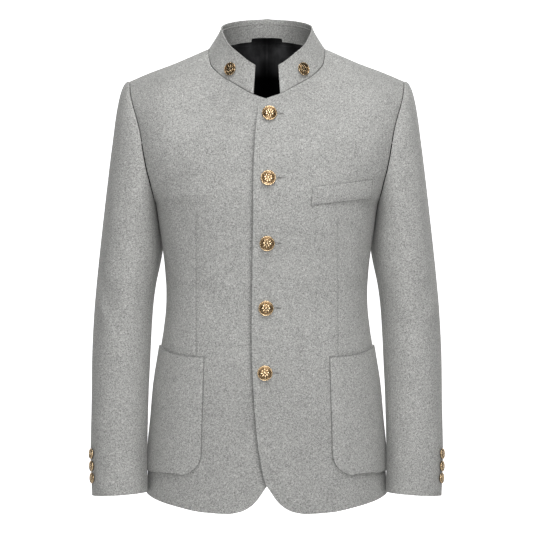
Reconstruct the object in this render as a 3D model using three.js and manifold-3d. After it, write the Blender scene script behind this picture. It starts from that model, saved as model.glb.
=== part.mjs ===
// A fitted single-breasted blazer with a stand collar, kept in its worn, hollow shape.
// Millimetres, +Z up. The chest faces -Y and the wearer's left is +X.
// The origin is the middle of the neck, level with the highest points of the two shoulder seams.
import * as THREE from 'three';
import Module from 'manifold-3d';

const wasm = await Module();
wasm.setup();
const { Manifold, Mesh } = wasm;

// Cloth and seams
const WOOL = 2.5;
const COLLAR_WOOL = 2.2;
const FACING_CLOTH = 1.2;
const LINING_CLOTH = 1.0;
const PATCH_CLOTH = 2.2;
const WELT_CLOTH = 1.3;
const LOOP_CLOTH = 1.2;
const GAP = 0.3;
const FACING_GAP = 0.5;
const LONG_SEAM_INSET = 0.3;
const HEAD_INSET = 0.45;
const LINING_GAP = 0.5;
const OVERLAP_STEP = 1.8;
const OVERLAP_FLAT = 20;
const OVERLAP_FADE = 60;

// Body
const SHOULDER_H = 41.5;
const SEAM_Y = 4;
const SHOULDER_TILT = 0.438;
const NECK_HALF = 88.5;
const PAD_RISE = 3;
const PAD_FROM = 130;
const PAD_FULL = 190;
const PAD_END_H = -60;
const HOLLOW_DEPTH = 18;
const HOLLOW_END_X = 160;
const HOLLOW_LOW_H = -150;
const HOLLOW_FULL_H = -60;
const HOLLOW_TOP_H = 20;
const ROW_HANDLE = 0.5;
const ROW_SLANT = 1.3;
const SKIRT_Z = -600;
const BACK_HEM_Z = -671;
const BACK_HEM_DROP = 5;
const SKIRT_STEPS = [0.35, 0.7, 1];
const CORNER_X = 8;
const LINING_HEM_RISE = 22;

// Sleeves
const HEAD_END_Z = -304;
const CUFF_Z = -668.6;
const CUFF_SIDE_DROP = 2.5;
const CUFF_FRONT_RISE = 2;
const HEAD_STEPS = [0, 0.07, 0.17, 0.3, 0.45, 0.62, 0.8, 1];
const ARM_STEPS = [0.12, 0.25, 0.38, 0.51, 0.64, 0.77, 0.9, 1];
const FRONT_SEAM_ROW = 9;
const BACK_SEAM_ROW = 5;

// Collar
const COLLAR_HALF = 69;
const COLLAR_DEPTH = 69;
const COLLAR_MID_Y = -11;
const COLLAR_FRONT_ANGLE = 14.5;
const COLLAR_ROWS = [0, 0.35, 0.7, 1];
const FACING_DROP = 6.5;
const LOOP_HALF = 25.5;
const LOOP_LOW = 1.5;
const LOOP_TALL = 8;
const LOOP_GAP = 0.6;

// Buttons
const BUTTON_R = 11.2;
const COLLAR_BUTTON_R = 10.0;
const CUFF_BUTTON_R = 7.8;
const BUTTON_TOP_Z = -105;
const BUTTON_PITCH = 95;
const BUTTON_COUNT = 5;
const BUTTON_TOP_X = 3.6;
const BUTTON_DRIFT_X = 1.6;
const BUTTON_SIDES = 16;
const SHANK_R = 3.2;
const RAY_START = 30;
const COLLAR_BUTTON_X = 53;
const COLLAR_BUTTON_RISE = 0.4;
const CUFF_BUTTONS_Z = [-608, -626, -643.5];
const CUFF_BUTTON_ANGLE = 60;

const deg = Math.PI / 180;
const V = (x, y, z) => new THREE.Vector3(x, y, z);
const smooth = THREE.MathUtils.smoothstep;

// A short table whose first column is the key; at() runs smoothly through its rows without overshoot.
function table(columns, rows) {
  const keys = rows.map((row) => row[0]);
  const slopes = columns.map((_, c) => {
    const step = rows.slice(1).map((row, i) => (row[c] - rows[i][c]) / (row[0] - rows[i][0]));
    return rows.map((row, i) => {
      if (i === 0) return step[0];
      if (i === rows.length - 1) return step[i - 1];
      const before = step[i - 1];
      const after = step[i];
      return before * after <= 0 ? 0 : (2 * before * after) / (before + after);
    });
  });
  const rising = keys[1] > keys[0];
  const at = (key, column) => {
    const c = columns.indexOf(column);
    const last = rows.length - 1;
    const past = (a, b) => (rising ? a >= b : a <= b);
    if (!past(key, keys[0])) return rows[0][c];
    if (past(key, keys[last])) return rows[last][c];
    let i = 0;
    while (i < last - 1 && past(key, keys[i + 1])) i += 1;
    const width = keys[i + 1] - keys[i];
    const s = (key - keys[i]) / width;
    const a = rows[i][c];
    const b = rows[i + 1][c];
    return a + (b - a) * s * s * (3 - 2 * s)
      + width * (slopes[c][i] * s * (1 - s) * (1 - s) - slopes[c][i + 1] * s * s * (1 - s));
  };
  return { at, rows };
}

// Edge of the body where it meets the sleeve or the side seam, by the height h of a row at its middle.
const EDGE = table(['h', 'tilt', 'x', 'frontY', 'backY'], [
  [41.5, 0.438, 209, 4, 4],
  [30, 0.43, 207.5, -12, 23],
  [10, 0.4, 205.5, -26, 38],
  [-20, 0.33, 201.5, -38, 49],
  [-60, 0.25, 194.5, -48, 56],
  [-100, 0.165, 189, -54, 60],
  [-140, 0.09, 185, -57, 60],
  [-175, 0.035, 180.5, -56, 56],
  [-205, 0.006, 174.5, -46, 45],
  [-225, 0, 170.5, -26, 27],
  [-238, 0, 168, 8, 8],
  [-268, 0, 163.5, 8, 8],
  [-296, 0, 159.4, 8, 8],
  [-339, 0, 154.5, 8, 8],
  [-380, 0, 152.8, 8, 8],
  [-426, 0, 157.3, 8, 8],
  [-448, 0, 160.8, 8, 8],
  [-508, 0, 170.2, 8, 8],
  [-562, 0, 175, 8, 8],
  [-597, 0, 178.5, 8, 8],
  [-671, 0, 183, 8, 8],
]);

// Middle line of the chest and back: depth, and how the row turns in at its edge.
const FRONT_MID = table(['h', 'y', 'turn', 'handle'], [
  [41.5, 4, 0, 60],
  [30, -22, 15, 58],
  [10, -47, 28, 55],
  [-20, -69, 40, 50],
  [-60, -87, 50, 46],
  [-120, -106, 55, 46],
  [-175, -118, 60, 47],
  [-205, -121, 70, 52],
  [-225, -122, 82, 74],
  [-238, -122, 90, 104],
  [-320, -116, 90, 98],
  [-400, -111, 90, 94],
  [-500, -115, 90, 98],
  [-600, -120, 90, 102],
  [-690, -120, 90, 102],
]);
const BACK_MID = table(['h', 'y', 'turn', 'handle'], [
  [41.5, 4, 0, 60],
  [30, 50, 18, 56],
  [18, 69, 28, 54],
  [0, 82, 38, 52],
  [-40, 95, 46, 50],
  [-100, 105, 52, 48],
  [-150, 110, 57, 47],
  [-175, 110.5, 60, 46],
  [-205, 110, 70, 50],
  [-225, 109.5, 82, 66],
  [-238, 109, 90, 84],
  [-300, 102, 90, 80],
  [-380, 95, 90, 74],
  [-450, 99, 90, 78],
  [-550, 111, 90, 88],
  [-671, 119, 90, 94],
]);

// Front edge of the overlap, by height.
const FRONT_EDGE = table(['z', 'x'], [
  [-88, -13],
  [-112, -15.4],
  [-175, -19.4],
  [-320, -21.3],
  [-435, -22.5],
  [-513, -19.8],
  [-565, -15.9],
  [-600, -11.9],
  [-628, -7],
  [-643, -3.4],
  [-662, 8],
]);

// Hem of the fronts from the rounded corner to the side seam.
const FRONT_HEM = table(['x', 'z'], [
  [8, -662],
  [14, -670.5],
  [21.3, -678],
  [30, -684],
  [39.5, -688],
  [57.7, -691],
  [94, -689.5],
  [137, -682.5],
  [163, -677],
  [183, -671],
]);

// Rows of the fronts: edge height, then where the row starts on the neckline or the front edge.
const FRONT_ROWS = [
  [41.5, 88.5, 41.5],
  [30, 88, 30],
  [10, 85, 10.4],
  [-20, 70.5, -18.5],
  [-60, 47, -45],
  [-100, 20.4, -69],
  [-140, 0.5, -81],
  [-175, null, -88],
  [-205, null, -112],
  [-225, null, -150],
  [-238, null, -190],
  [-268, null, -230],
  [-300, null, -272],
  [-335, null, -315],
  [-375, null, -360],
  [-415, null, -403],
  [-455, null, -447],
  [-495, null, -490],
  [-530, null, -528],
  [-565, null, -565],
];
const LAP_COLUMNS = [0, 1 / 3, 2 / 3];
const PANEL_COLUMNS = [0, 0.1, 0.22, 0.37, 0.53, 0.69, 0.85, 1];
const LEAST_LAP = 0.1;
const BACK_COLUMNS = [0, 0.128, 0.235, 0.338, NECK_HALF / 209, 0.567, 0.711, 0.856, 1];
const BACK_NECK = table(['x', 'h'], [
  [0, 18],
  [24, 19],
  [47, 24.5],
  [70, 33.5],
  [88.5, 41.5],
  [209, 41.5],
]);
const BACK_NECK_SHARE = [1, 0.85, 0.55, 0.22];

// Sleeve below the head, by height: middle and half-width across and in depth.
const ARM = table(['z', 'x', 'halfX', 'y', 'halfY'], [
  [-304, 207.3, 46.2, 8, 68],
  [-399, 217.6, 44.4, 2, 62],
  [-467, 221, 44.1, -8, 58],
  [-521, 222.5, 43.1, -17, 55],
  [-602, 223.7, 42.1, -32, 52],
  [-675, 221.3, 41, -44, 50],
]);
// Angles round the sleeve where the armhole rows and the two long seams lie: 0 is front, 90 is outside.
const HEAD_ANGLES = [90, 74, 58, 44, 30, 16, 3, -10, -28, -52, -90];
const LONG_SEAMS = table(['z', 'front', 'back'], [
  [-238, -54, 164],
  [-304, -58, 158],
  [-430, -61, 138],
  [-560, -62, 118],
  [-672, -62, 112],
]);

// Top edge of the collar, by the angle round the neck from the front.
const COLLAR_TOP = table(['angle', 'z'], [
  [14.5, -30.5],
  [24, -23.6],
  [38, -11.5],
  [56, 3],
  [71, 18.5],
  [90, 32],
  [120, 43.5],
  [150, 51],
  [180, 54.5],
]);

function bezier(a, b, c, d, t) {
  const s = 1 - t;
  return s * s * s * a + 3 * s * s * t * b + 3 * s * t * t * c + t * t * t * d;
}

// One row of the body from its middle (t = 0) to its edge (t = 1); a negative t crosses the middle.
// Rows fall towards the shoulder, where a pad lifts them, and lie level across the back of the neck.
// Beside the neck the front sinks into a shallow hollow, so that the neckline runs round the neck.
function rowCurve(side, h) {
  const front = side === 'front';
  const mid = front ? FRONT_MID : BACK_MID;
  const x = EDGE.at(h, 'x');
  const edgeY = EDGE.at(h, front ? 'frontY' : 'backY');
  const midY = mid.at(h, 'y');
  const turn = mid.at(h, 'turn') * deg;
  const handle = mid.at(h, 'handle');
  const inward = front ? -1 : 1;
  const xs = [0, ROW_HANDLE * x, x - handle * Math.cos(turn), x];
  const ys = [midY, midY, edgeY + inward * handle * Math.sin(turn), edgeY];
  const tilt = EDGE.at(h, 'tilt');
  const pad = PAD_RISE * smooth(h, PAD_END_H, SHOULDER_H);
  const rows = smooth(h, HOLLOW_LOW_H, HOLLOW_FULL_H) * (1 - smooth(h, HOLLOW_TOP_H, SHOULDER_H));
  const hollow = front ? HOLLOW_DEPTH * rows : 0;
  const point = (t) => {
    const across = bezier(...xs, Math.abs(t));
    const fall = tilt * across * (front ? 1 : smooth(across, 0, NECK_HALF));
    const z = h - fall + pad * smooth(across, PAD_FROM, PAD_FULL);
    const sunk = smooth(across, 0, NECK_HALF) * (1 - smooth(across, NECK_HALF, HOLLOW_END_X));
    return V(Math.sign(t) * across, bezier(...ys, Math.abs(t)) + hollow * sunk, z);
  };
  const find = (target) => {
    let low = 0;
    let high = 1;
    for (let i = 0; i < 40; i += 1) {
      const middle = (low + high) / 2;
      if (bezier(...xs, middle) < Math.abs(target)) low = middle;
      else high = middle;
    }
    return Math.sign(target) * (low + high) / 2;
  };
  return { point, find, x, tilt };
}

// A sheet is a grid of points with the outward direction at each.
function directions(points) {
  const rows = points.length;
  const cols = points[0].length;
  return points.map((row, i) => row.map((_, j) => {
    const down = points[Math.min(i + 1, rows - 1)][j].clone().sub(points[Math.max(i - 1, 0)][j]);
    const along = points[i][Math.min(j + 1, cols - 1)].clone().sub(points[i][Math.max(j - 1, 0)]);
    return down.cross(along).normalize();
  }));
}

function turned(normals) {
  return normals.map((row) => row.map((n) => n.clone().negate()));
}

// Moves the borders of a grid towards its inside, which leaves the gap of a seam.
function inset(points, edges) {
  const moved = points.map((row) => row.map((p) => p.clone()));
  const lastRow = points.length - 1;
  const lastCol = points[0].length - 1;
  const shift = (i, j, k, l, amount) => {
    if (!amount) return;
    const step = points[k][l].clone().sub(points[i][j]);
    moved[i][j].add(step.setLength(Math.min(amount, 0.8 * step.length())));
  };
  for (let j = 0; j <= lastCol; j += 1) {
    shift(0, j, 1, j, edges.top);
    shift(lastRow, j, lastRow - 1, j, edges.bottom);
  }
  for (let i = 0; i <= lastRow; i += 1) {
    shift(i, 0, i, 1, edges.start);
    shift(i, lastCol, i, lastCol - 1, edges.end);
  }
  return moved;
}

function offset(points, normals, amount) {
  return points.map((row, i) => row.map((p, j) => p.clone().addScaledVector(normals[i][j], amount)));
}

function mirrored(grid) {
  return grid.map((row) => row.map((p) => V(-p.x, p.y, p.z)));
}

// A closed wall between an outer and an inner grid.
function wallMesh(outer, inner) {
  const rows = outer.length;
  const cols = outer[0].length;
  const positions = [...outer.flat(), ...inner.flat()];
  const under = rows * cols;
  const triangles = [];
  const at = (i, j) => i * cols + j;
  const quad = (a, b, c, d) => triangles.push([a, b, c], [a, c, d]);
  for (let i = 0; i < rows - 1; i += 1) {
    for (let j = 0; j < cols - 1; j += 1) {
      quad(at(i, j), at(i + 1, j), at(i + 1, j + 1), at(i, j + 1));
      const inside = [at(i, j), at(i, j + 1), at(i + 1, j + 1), at(i + 1, j)];
      quad(...inside.map((k) => k + under));
    }
  }
  const rim = [];
  for (let j = 0; j < cols - 1; j += 1) rim.push([at(0, j), at(0, j + 1)]);
  for (let i = 0; i < rows - 1; i += 1) rim.push([at(i, cols - 1), at(i + 1, cols - 1)]);
  for (let j = cols - 1; j > 0; j -= 1) rim.push([at(rows - 1, j), at(rows - 1, j - 1)]);
  for (let i = rows - 1; i > 0; i -= 1) rim.push([at(i, 0), at(i - 1, 0)]);
  rim.forEach(([a, b]) => quad(a, b, b + under, a + under));
  return solidOf(positions, triangles);
}

// Indexed geometry, facing out whichever way its triangles were listed.
function solidOf(positions, triangles) {
  let volume = 0;
  triangles.forEach(([a, b, c]) => {
    volume += positions[a].dot(positions[b].clone().cross(positions[c]));
  });
  const faces = volume < 0 ? triangles.map(([a, b, c]) => [a, c, b]) : triangles;
  const geometry = new THREE.BufferGeometry();
  const values = positions.flatMap((p) => p.toArray());
  geometry.setAttribute('position', new THREE.Float32BufferAttribute(values, 3));
  geometry.setIndex(faces.flat());
  return geometry;
}

function toManifold(geometry) {
  return new Manifold(new Mesh({
    numProp: 3,
    vertProperties: new Float32Array(geometry.attributes.position.array),
    triVerts: new Uint32Array(geometry.index.array),
  }));
}

function fromManifold(solid) {
  const mesh = solid.getMesh();
  const geometry = new THREE.BufferGeometry();
  geometry.setAttribute('position', new THREE.Float32BufferAttribute(mesh.vertProperties, 3));
  geometry.setIndex(Array.from(mesh.triVerts));
  return geometry;
}

// The part of a slab that lies behind an outline drawn in X and Z.
function cutByOutline(slab, outline, sideways) {
  const depth = 260;
  const section = outline.map(([x, z]) => [sideways * x, z]);
  if (sideways < 0) section.reverse();
  const prism = Manifold.extrude([section], depth)
    .rotate([90, 0, 0])
    .translate([0, depth / 2, 0]);
  return fromManifold(toManifold(slab).intersect(prism));
}

const group = new THREE.Group();

function add(name, geometry, finish) {
  geometry.computeVertexNormals();
  const mesh = new THREE.Mesh(geometry, new THREE.MeshStandardMaterial(finish));
  mesh.name = name;
  group.add(mesh);
}

const GREY_WOOL = { color: 0xb3b3b1, roughness: 0.95, metalness: 0 };
const BLACK_LINING = { color: 0x151515, roughness: 0.55, metalness: 0 };
const GOLD_BRASS = { color: 0xb78a4a, roughness: 0.35, metalness: 0.9 };

// Point of the body at a given place across, on the row of height h at its middle.
function bodyAt(side, x, h) {
  const row = rowCurve(side, h);
  return row.point(row.find(x));
}

// Point of the front at a given X and Z.
function frontAt(x, z) {
  let h = z;
  for (let i = 0; i < 12; i += 1) h = z + EDGE.at(h, 'tilt') * Math.abs(x);
  return bodyAt('front', x, h);
}

// Places along a row of the front: even steps over the lap, alike on both fronts, then on to the edge.
function frontPlaces(start) {
  const lap = Math.max(-2 * start, LEAST_LAP);
  return [
    ...LAP_COLUMNS.map((share) => start + lap * share),
    ...PANEL_COLUMNS.map((share) => start + lap + (1 - start - lap) * share),
  ];
}

function frontGrid() {
  const rows = FRONT_ROWS.map(([edgeH, neckX, startH]) => {
    const startX = neckX ?? FRONT_EDGE.at(startH, 'x');
    const start = rowCurve('front', startH).find(startX);
    return frontPlaces(start).map((t) => {
      const u = (t - start) / (1 - start);
      const h = edgeH + (startH - edgeH) * (1 - u) ** ROW_SLANT;
      return rowCurve('front', h).point(t);
    });
  });
  const skirt = [0, ...SKIRT_STEPS].map((share) => {
    const startX = FRONT_EDGE.at(SKIRT_Z + share * (FRONT_EDGE.rows.at(-1)[0] - SKIRT_Z), 'x');
    return Array.from({ length: LAP_COLUMNS.length + PANEL_COLUMNS.length }, (_, j) => {
      const place = (z) => {
        const row = rowCurve('front', z);
        return row.point(frontPlaces(row.find(startX))[j]);
      };
      let p = place(SKIRT_Z);
      for (let i = 0; i < 4; i += 1) {
        p = place(SKIRT_Z + share * (FRONT_HEM.at(Math.max(p.x, CORNER_X), 'z') - SKIRT_Z));
      }
      return p;
    });
  });
  return [...rows, ...skirt];
}

function backGrid() {
  const edges = [...FRONT_ROWS.map((row) => row[0]), SKIRT_Z];
  const rows = edges.map((edgeH, i) => BACK_COLUMNS.map((u) => {
    const share = BACK_NECK_SHARE[i] ?? 0;
    const drop = share * (SHOULDER_H - BACK_NECK.at(u * EDGE.at(SHOULDER_H, 'x'), 'h'));
    const h = edgeH - drop;
    return bodyAt('back', u * EDGE.at(h, 'x'), h);
  }));
  const skirt = SKIRT_STEPS.map((share) => BACK_COLUMNS.map((u) => {
    const hem = BACK_HEM_Z - BACK_HEM_DROP * (1 - u * u);
    const z = SKIRT_Z + share * (hem - SKIRT_Z);
    return bodyAt('back', u * EDGE.at(z, 'x'), z);
  }));
  return [...rows, ...skirt];
}

const SHOULDER_UP = V(SHOULDER_TILT, 0, 1).normalize();

function overlapStep(x, sign) {
  const across = Math.abs(x);
  const share = THREE.MathUtils.clamp((OVERLAP_FADE - across) / (OVERLAP_FADE - OVERLAP_FLAT), 0, 1);
  return sign * OVERLAP_STEP * share * share * (3 - 2 * share);
}

const half = GAP / 2;
const frontPoints = frontGrid();
const frontNormals = directions(frontPoints);
frontNormals[0] = frontNormals[0].map(() => SHOULDER_UP.clone());
const backPoints = backGrid();
const backNormals = turned(directions(backPoints));
backNormals.forEach((row) => row[0].setX(0).normalize());
const shoulderFrom = BACK_COLUMNS.indexOf(NECK_HALF / 209);
backNormals[0] = backNormals[0].map((n, j) => (j >= shoulderFrom ? SHOULDER_UP.clone() : n));

// Where two panels meet without a fold they share one direction, so that their cut edges are parallel.
function share(a, b) {
  const mean = a.clone().add(b).normalize();
  a.copy(mean);
  b.copy(mean);
}
for (let i = HEAD_ANGLES.length - 1; i < frontPoints.length; i += 1) {
  share(frontNormals[i].at(-1), backNormals[i].at(-1));
}

// Collar: a ruled band from the neckline up to its top edge, open at the throat.
const neckStations = [
  ...[5, 4, 3, 2, 1, 0].map((row) => ({ front: true, row, column: 0 })),
  ...[3, 2, 1, 0].map((column) => ({ front: false, row: 0, column })),
];
const halfNeck = neckStations.map((s) => (s.front ? frontPoints : backPoints)[s.row][s.column].clone());
const neckLength = halfNeck.slice(1).reduce(
  (sum, p, i) => [...sum, sum.at(-1) + p.distanceTo(halfNeck[i])],
  [0],
);
function collarTopPoint(along) {
  const angle = COLLAR_FRONT_ANGLE + (180 - COLLAR_FRONT_ANGLE) * along;
  return V(
    COLLAR_HALF * Math.sin(angle * deg),
    COLLAR_MID_Y - COLLAR_DEPTH * Math.cos(angle * deg),
    COLLAR_TOP.at(angle, 'z'),
  );
}
const halfTop = neckLength.map((length) => collarTopPoint(length / neckLength.at(-1)));
const whole = (points) => [...mirrored([points])[0].slice(0, -1), ...points.slice().reverse()];
const collarPoints = COLLAR_ROWS.map(
  (v) => whole(halfNeck.map((p, j) => p.clone().lerp(halfTop[j], v))),
).reverse();
const collarNormals = turned(directions(collarPoints));
collarNormals.forEach((row) => row[(row.length - 1) / 2].setX(0).normalize());
neckStations.forEach((station, j) => {
  const grid = station.front ? frontNormals : backNormals;
  const row = collarNormals.at(-1);
  share(grid[station.row][station.column], row[row.length - 1 - j]);
  row[j] = row[row.length - 1 - j].clone();
  row[j].x *= -1;
});
backNormals[0][4].copy(frontNormals[0][0]);

// Fronts: the wearer's left laps over the right.
const frontSheet = (sign) => frontPoints.map((row, i) => row.map(
  (p, j) => p.clone().addScaledVector(frontNormals[i][j], overlapStep(p.x, sign)),
));
const leftFront = inset(frontSheet(1), { top: half, start: half, end: half });
const rightFront = inset(frontSheet(-1), { top: half, start: half, end: half });
add('front_left', wallMesh(leftFront, offset(leftFront, frontNormals, -WOOL)), GREY_WOOL);
const rightInner = offset(rightFront, frontNormals, -WOOL);
add('front_right', wallMesh(mirrored(rightFront), mirrored(rightInner)), GREY_WOOL);

// Backs, joined by a seam down the middle, and the lining that lies inside them.
const backSheet = inset(backPoints, { top: half, start: half, end: half });
const backInner = offset(backSheet, backNormals, -WOOL);
add('back_left', wallMesh(backSheet, backInner), GREY_WOOL);
add('back_right', wallMesh(mirrored(backSheet), mirrored(backInner)), GREY_WOOL);

const liningRows = backPoints.slice(0, -1);
const hemShare = LINING_HEM_RISE / ((BACK_HEM_Z - SKIRT_Z) * (SKIRT_STEPS[1] - SKIRT_STEPS[2]));
const liningLast = backPoints.at(-1).map((p, j) => p.clone().lerp(backPoints.at(-2)[j], hemShare));
const liningPoints = [...liningRows, liningLast];
const liningNormals = [backNormals[1], ...backNormals.slice(1)];
const liningSheet = inset(liningPoints, { top: 2.5, start: half, end: 2.5 });
const liningOuter = offset(liningSheet, liningNormals, -WOOL - LINING_GAP);
const liningInner = offset(liningSheet, liningNormals, -WOOL - LINING_GAP - LINING_CLOTH);
add('lining_back_left', wallMesh(liningOuter, liningInner), BLACK_LINING);
add('lining_back_right', wallMesh(mirrored(liningOuter), mirrored(liningInner)), BLACK_LINING);

// Sleeves: a head that leaves the armhole outwards and turns down, then a curved, tapering arm.
function armPoint(angle, z) {
  const a = angle * deg;
  return V(
    ARM.at(z, 'x') + ARM.at(z, 'halfX') * Math.sin(a),
    ARM.at(z, 'y') - ARM.at(z, 'halfY') * Math.cos(a),
    z,
  );
}

function cuffZ(angle) {
  return CUFF_Z - CUFF_SIDE_DROP * Math.sin(angle * deg) + CUFF_FRONT_RISE * Math.cos(angle * deg);
}

// Points of the armhole in order round the arm: up the front edge, then down the back edge.
const armholeLoop = [
  ...HEAD_ANGLES.map((angle, i) => ({ angle, point: frontPoints[i].at(-1) })).reverse(),
  ...HEAD_ANGLES.map((angle, i) => ({ angle: 180 - angle, point: backPoints[i].at(-1) })).slice(1),
];

function headPoint(station, endAngle, t) {
  const a = station.angle * deg;
  const start = station.point;
  const end = armPoint(endAngle, HEAD_END_Z);
  const out = V(9 + 10 * Math.sin(a), -8 * Math.cos(a), -8 + 9 * Math.sin(a) - 2 * Math.cos(a) ** 2);
  const reach = (0.44 + 0.28 * Math.max(Math.sin(a), 0)) * (start.z - end.z);
  const lean = -0.06 + 0.088 * (1 + Math.sin(endAngle * deg));
  const second = start.clone().add(out);
  const third = end.clone().add(V(-lean * reach, 0.03 * reach, reach));
  return V(...['x', 'y', 'z'].map((k) => bezier(start[k], second[k], third[k], end[k], t)));
}

// A run of the armhole's stations, spread between two long seams on its way to the cuff.
function sleeveGrid(stations, seamStart, seamEnd) {
  const first = stations[0].angle;
  const span = stations.at(-1).angle - first;
  const angleAt = (share, z) => seamStart(z) + (seamEnd(z) - seamStart(z)) * share;
  const shares = stations.map((s) => (s.angle - first) / span);
  const head = HEAD_STEPS.map((t) => stations.map(
    (station, j) => headPoint(station, angleAt(shares[j], HEAD_END_Z), t),
  ));
  const arm = ARM_STEPS.map((v) => stations.map((_, j) => {
    const even = shares[j] + (j / (stations.length - 1) - shares[j]) * v;
    const guess = HEAD_END_Z + (CUFF_Z - HEAD_END_Z) * v;
    const angle = angleAt(even, guess);
    return armPoint(angle, HEAD_END_Z + (cuffZ(angle) - HEAD_END_Z) * v);
  }));
  return [...head, ...arm];
}

const frontSeamAt = (z) => LONG_SEAMS.at(z, 'front');
const backSeamAt = (z) => LONG_SEAMS.at(z, 'back');
const firstTop = HEAD_ANGLES.length - 1 - FRONT_SEAM_ROW;
const lastTop = HEAD_ANGLES.length - 1 + BACK_SEAM_ROW;
const topStations = armholeLoop.slice(firstTop, lastTop + 1);
const underStations = [
  ...armholeLoop.slice(lastTop),
  ...armholeLoop.slice(1, firstTop + 1).map((s) => ({ angle: s.angle + 360, point: s.point })),
];
const sleeveTop = sleeveGrid(topStations, frontSeamAt, backSeamAt);
const sleeveUnder = sleeveGrid(underStations, backSeamAt, (z) => frontSeamAt(z) + 360);
const sleeves = [['top', sleeveTop], ['under', sleeveUnder]];
const sleeveNormals = (points, name) => {
  const normals = directions(points);
  const other = directions(name === 'top' ? sleeveUnder : sleeveTop);
  return normals.map((row, i) => row.map((n, j) => {
    if (j === 0) return n.clone().add(other[i].at(-1)).normalize();
    if (j === row.length - 1) return n.clone().add(other[i][0]).normalize();
    return n;
  }));
};
sleeves.forEach(([name, points]) => {
  const normals = sleeveNormals(points, name);
  const sheet = inset(points, { top: HEAD_INSET, start: LONG_SEAM_INSET, end: LONG_SEAM_INSET });
  const inner = offset(sheet, normals, -WOOL);
  add(`sleeve_left_${name}`, wallMesh(sheet, inner), GREY_WOOL);
  add(`sleeve_right_${name}`, wallMesh(mirrored(sheet), mirrored(inner)), GREY_WOOL);
});

const collarSheet = inset(collarPoints, { bottom: GAP });
add('collar', wallMesh(collarSheet, offset(collarSheet, collarNormals, -COLLAR_WOOL)), GREY_WOOL);

const facingSheet = inset(collarPoints, { top: FACING_DROP, bottom: GAP, start: 1.2, end: 1.2 });
const facingOuter = offset(facingSheet, collarNormals, -COLLAR_WOOL - FACING_GAP);
const facingInner = offset(facingSheet, collarNormals, -COLLAR_WOOL - FACING_GAP - FACING_CLOTH);
add('collar_facing', wallMesh(facingOuter, facingInner), GREY_WOOL);

// Hanger loop: a flat band on the facing at the back of the neck.
const middle = (facingInner[0].length - 1) / 2;
const loopColumns = [-1, -0.5, 0, 0.5, 1];
const loopAt = (across, rise, depth) => {
  const side = across < 0 ? -1 : 1;
  const low = facingInner.at(-1)[middle];
  const lowSide = facingInner.at(-1)[middle + side];
  const high = facingInner.at(-2)[middle];
  const highSide = facingInner.at(-2)[middle + side];
  const share = (Math.abs(across) * LOOP_HALF) / Math.abs(lowSide.x);
  const base = low.clone().lerp(lowSide, share);
  const crown = high.clone().lerp(highSide, share);
  const normal = collarNormals.at(-1)[middle].clone().lerp(collarNormals.at(-1)[middle + side], share);
  return base.add(crown.sub(base).setLength(rise)).addScaledVector(normal.normalize(), -depth);
};
const loopGrid = (depth) => [LOOP_LOW + LOOP_TALL, LOOP_LOW].map(
  (rise) => loopColumns.map((across) => loopAt(across, rise, depth)),
);
add('hanger_loop', wallMesh(loopGrid(LOOP_GAP), loopGrid(LOOP_GAP + LOOP_CLOTH)), BLACK_LINING);

// Patch pockets and the breast welt are parts of a slab that lies on the front.
const arc = (cx, cz, r, from, to, steps) => Array.from({ length: steps + 1 }, (_, i) => {
  const a = (from + ((to - from) * i) / steps) * deg;
  return [cx + r * Math.cos(a), cz + r * Math.sin(a)];
});
const POCKET_OUTLINE = [
  [91.4, -461.5],
  [92.6, -510],
  [94.6, -575],
  ...arc(129.5, -602, 34.5, 180, 270, 6),
  [215, -636.5],
  [215, -436],
  [163, -447.5],
  [152, -452.5],
  [137, -457.2],
  [115, -460.4],
];
const WELT_OUTLINE = [
  [66.4, -212.8],
  [63.7, -239.8],
  [154.4, -228.1],
  [157.2, -199.8],
];

function slabOn(sheet, normals, rows, thickness) {
  const points = inset(sheet.slice(...rows), { end: 4 });
  const outward = normals.slice(...rows);
  return wallMesh(offset(points, outward, GAP + thickness), offset(points, outward, GAP));
}
const pocketRows = [15, frontPoints.length];
add('pocket_patch_left', cutByOutline(
  slabOn(leftFront, frontNormals, pocketRows, PATCH_CLOTH), POCKET_OUTLINE, 1,
), GREY_WOOL);
const rightSlab = slabOn(rightFront, frontNormals, pocketRows, PATCH_CLOTH);
rightSlab.scale(-1, 1, 1);
rightSlab.setIndex(Array.from(rightSlab.index.array).reverse());
add('pocket_patch_right', cutByOutline(rightSlab, POCKET_OUTLINE, -1), GREY_WOOL);
add('pocket_welt', cutByOutline(
  slabOn(leftFront, frontNormals, [5, 13], WELT_CLOTH), WELT_OUTLINE, 1,
), GREY_WOOL);

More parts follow.
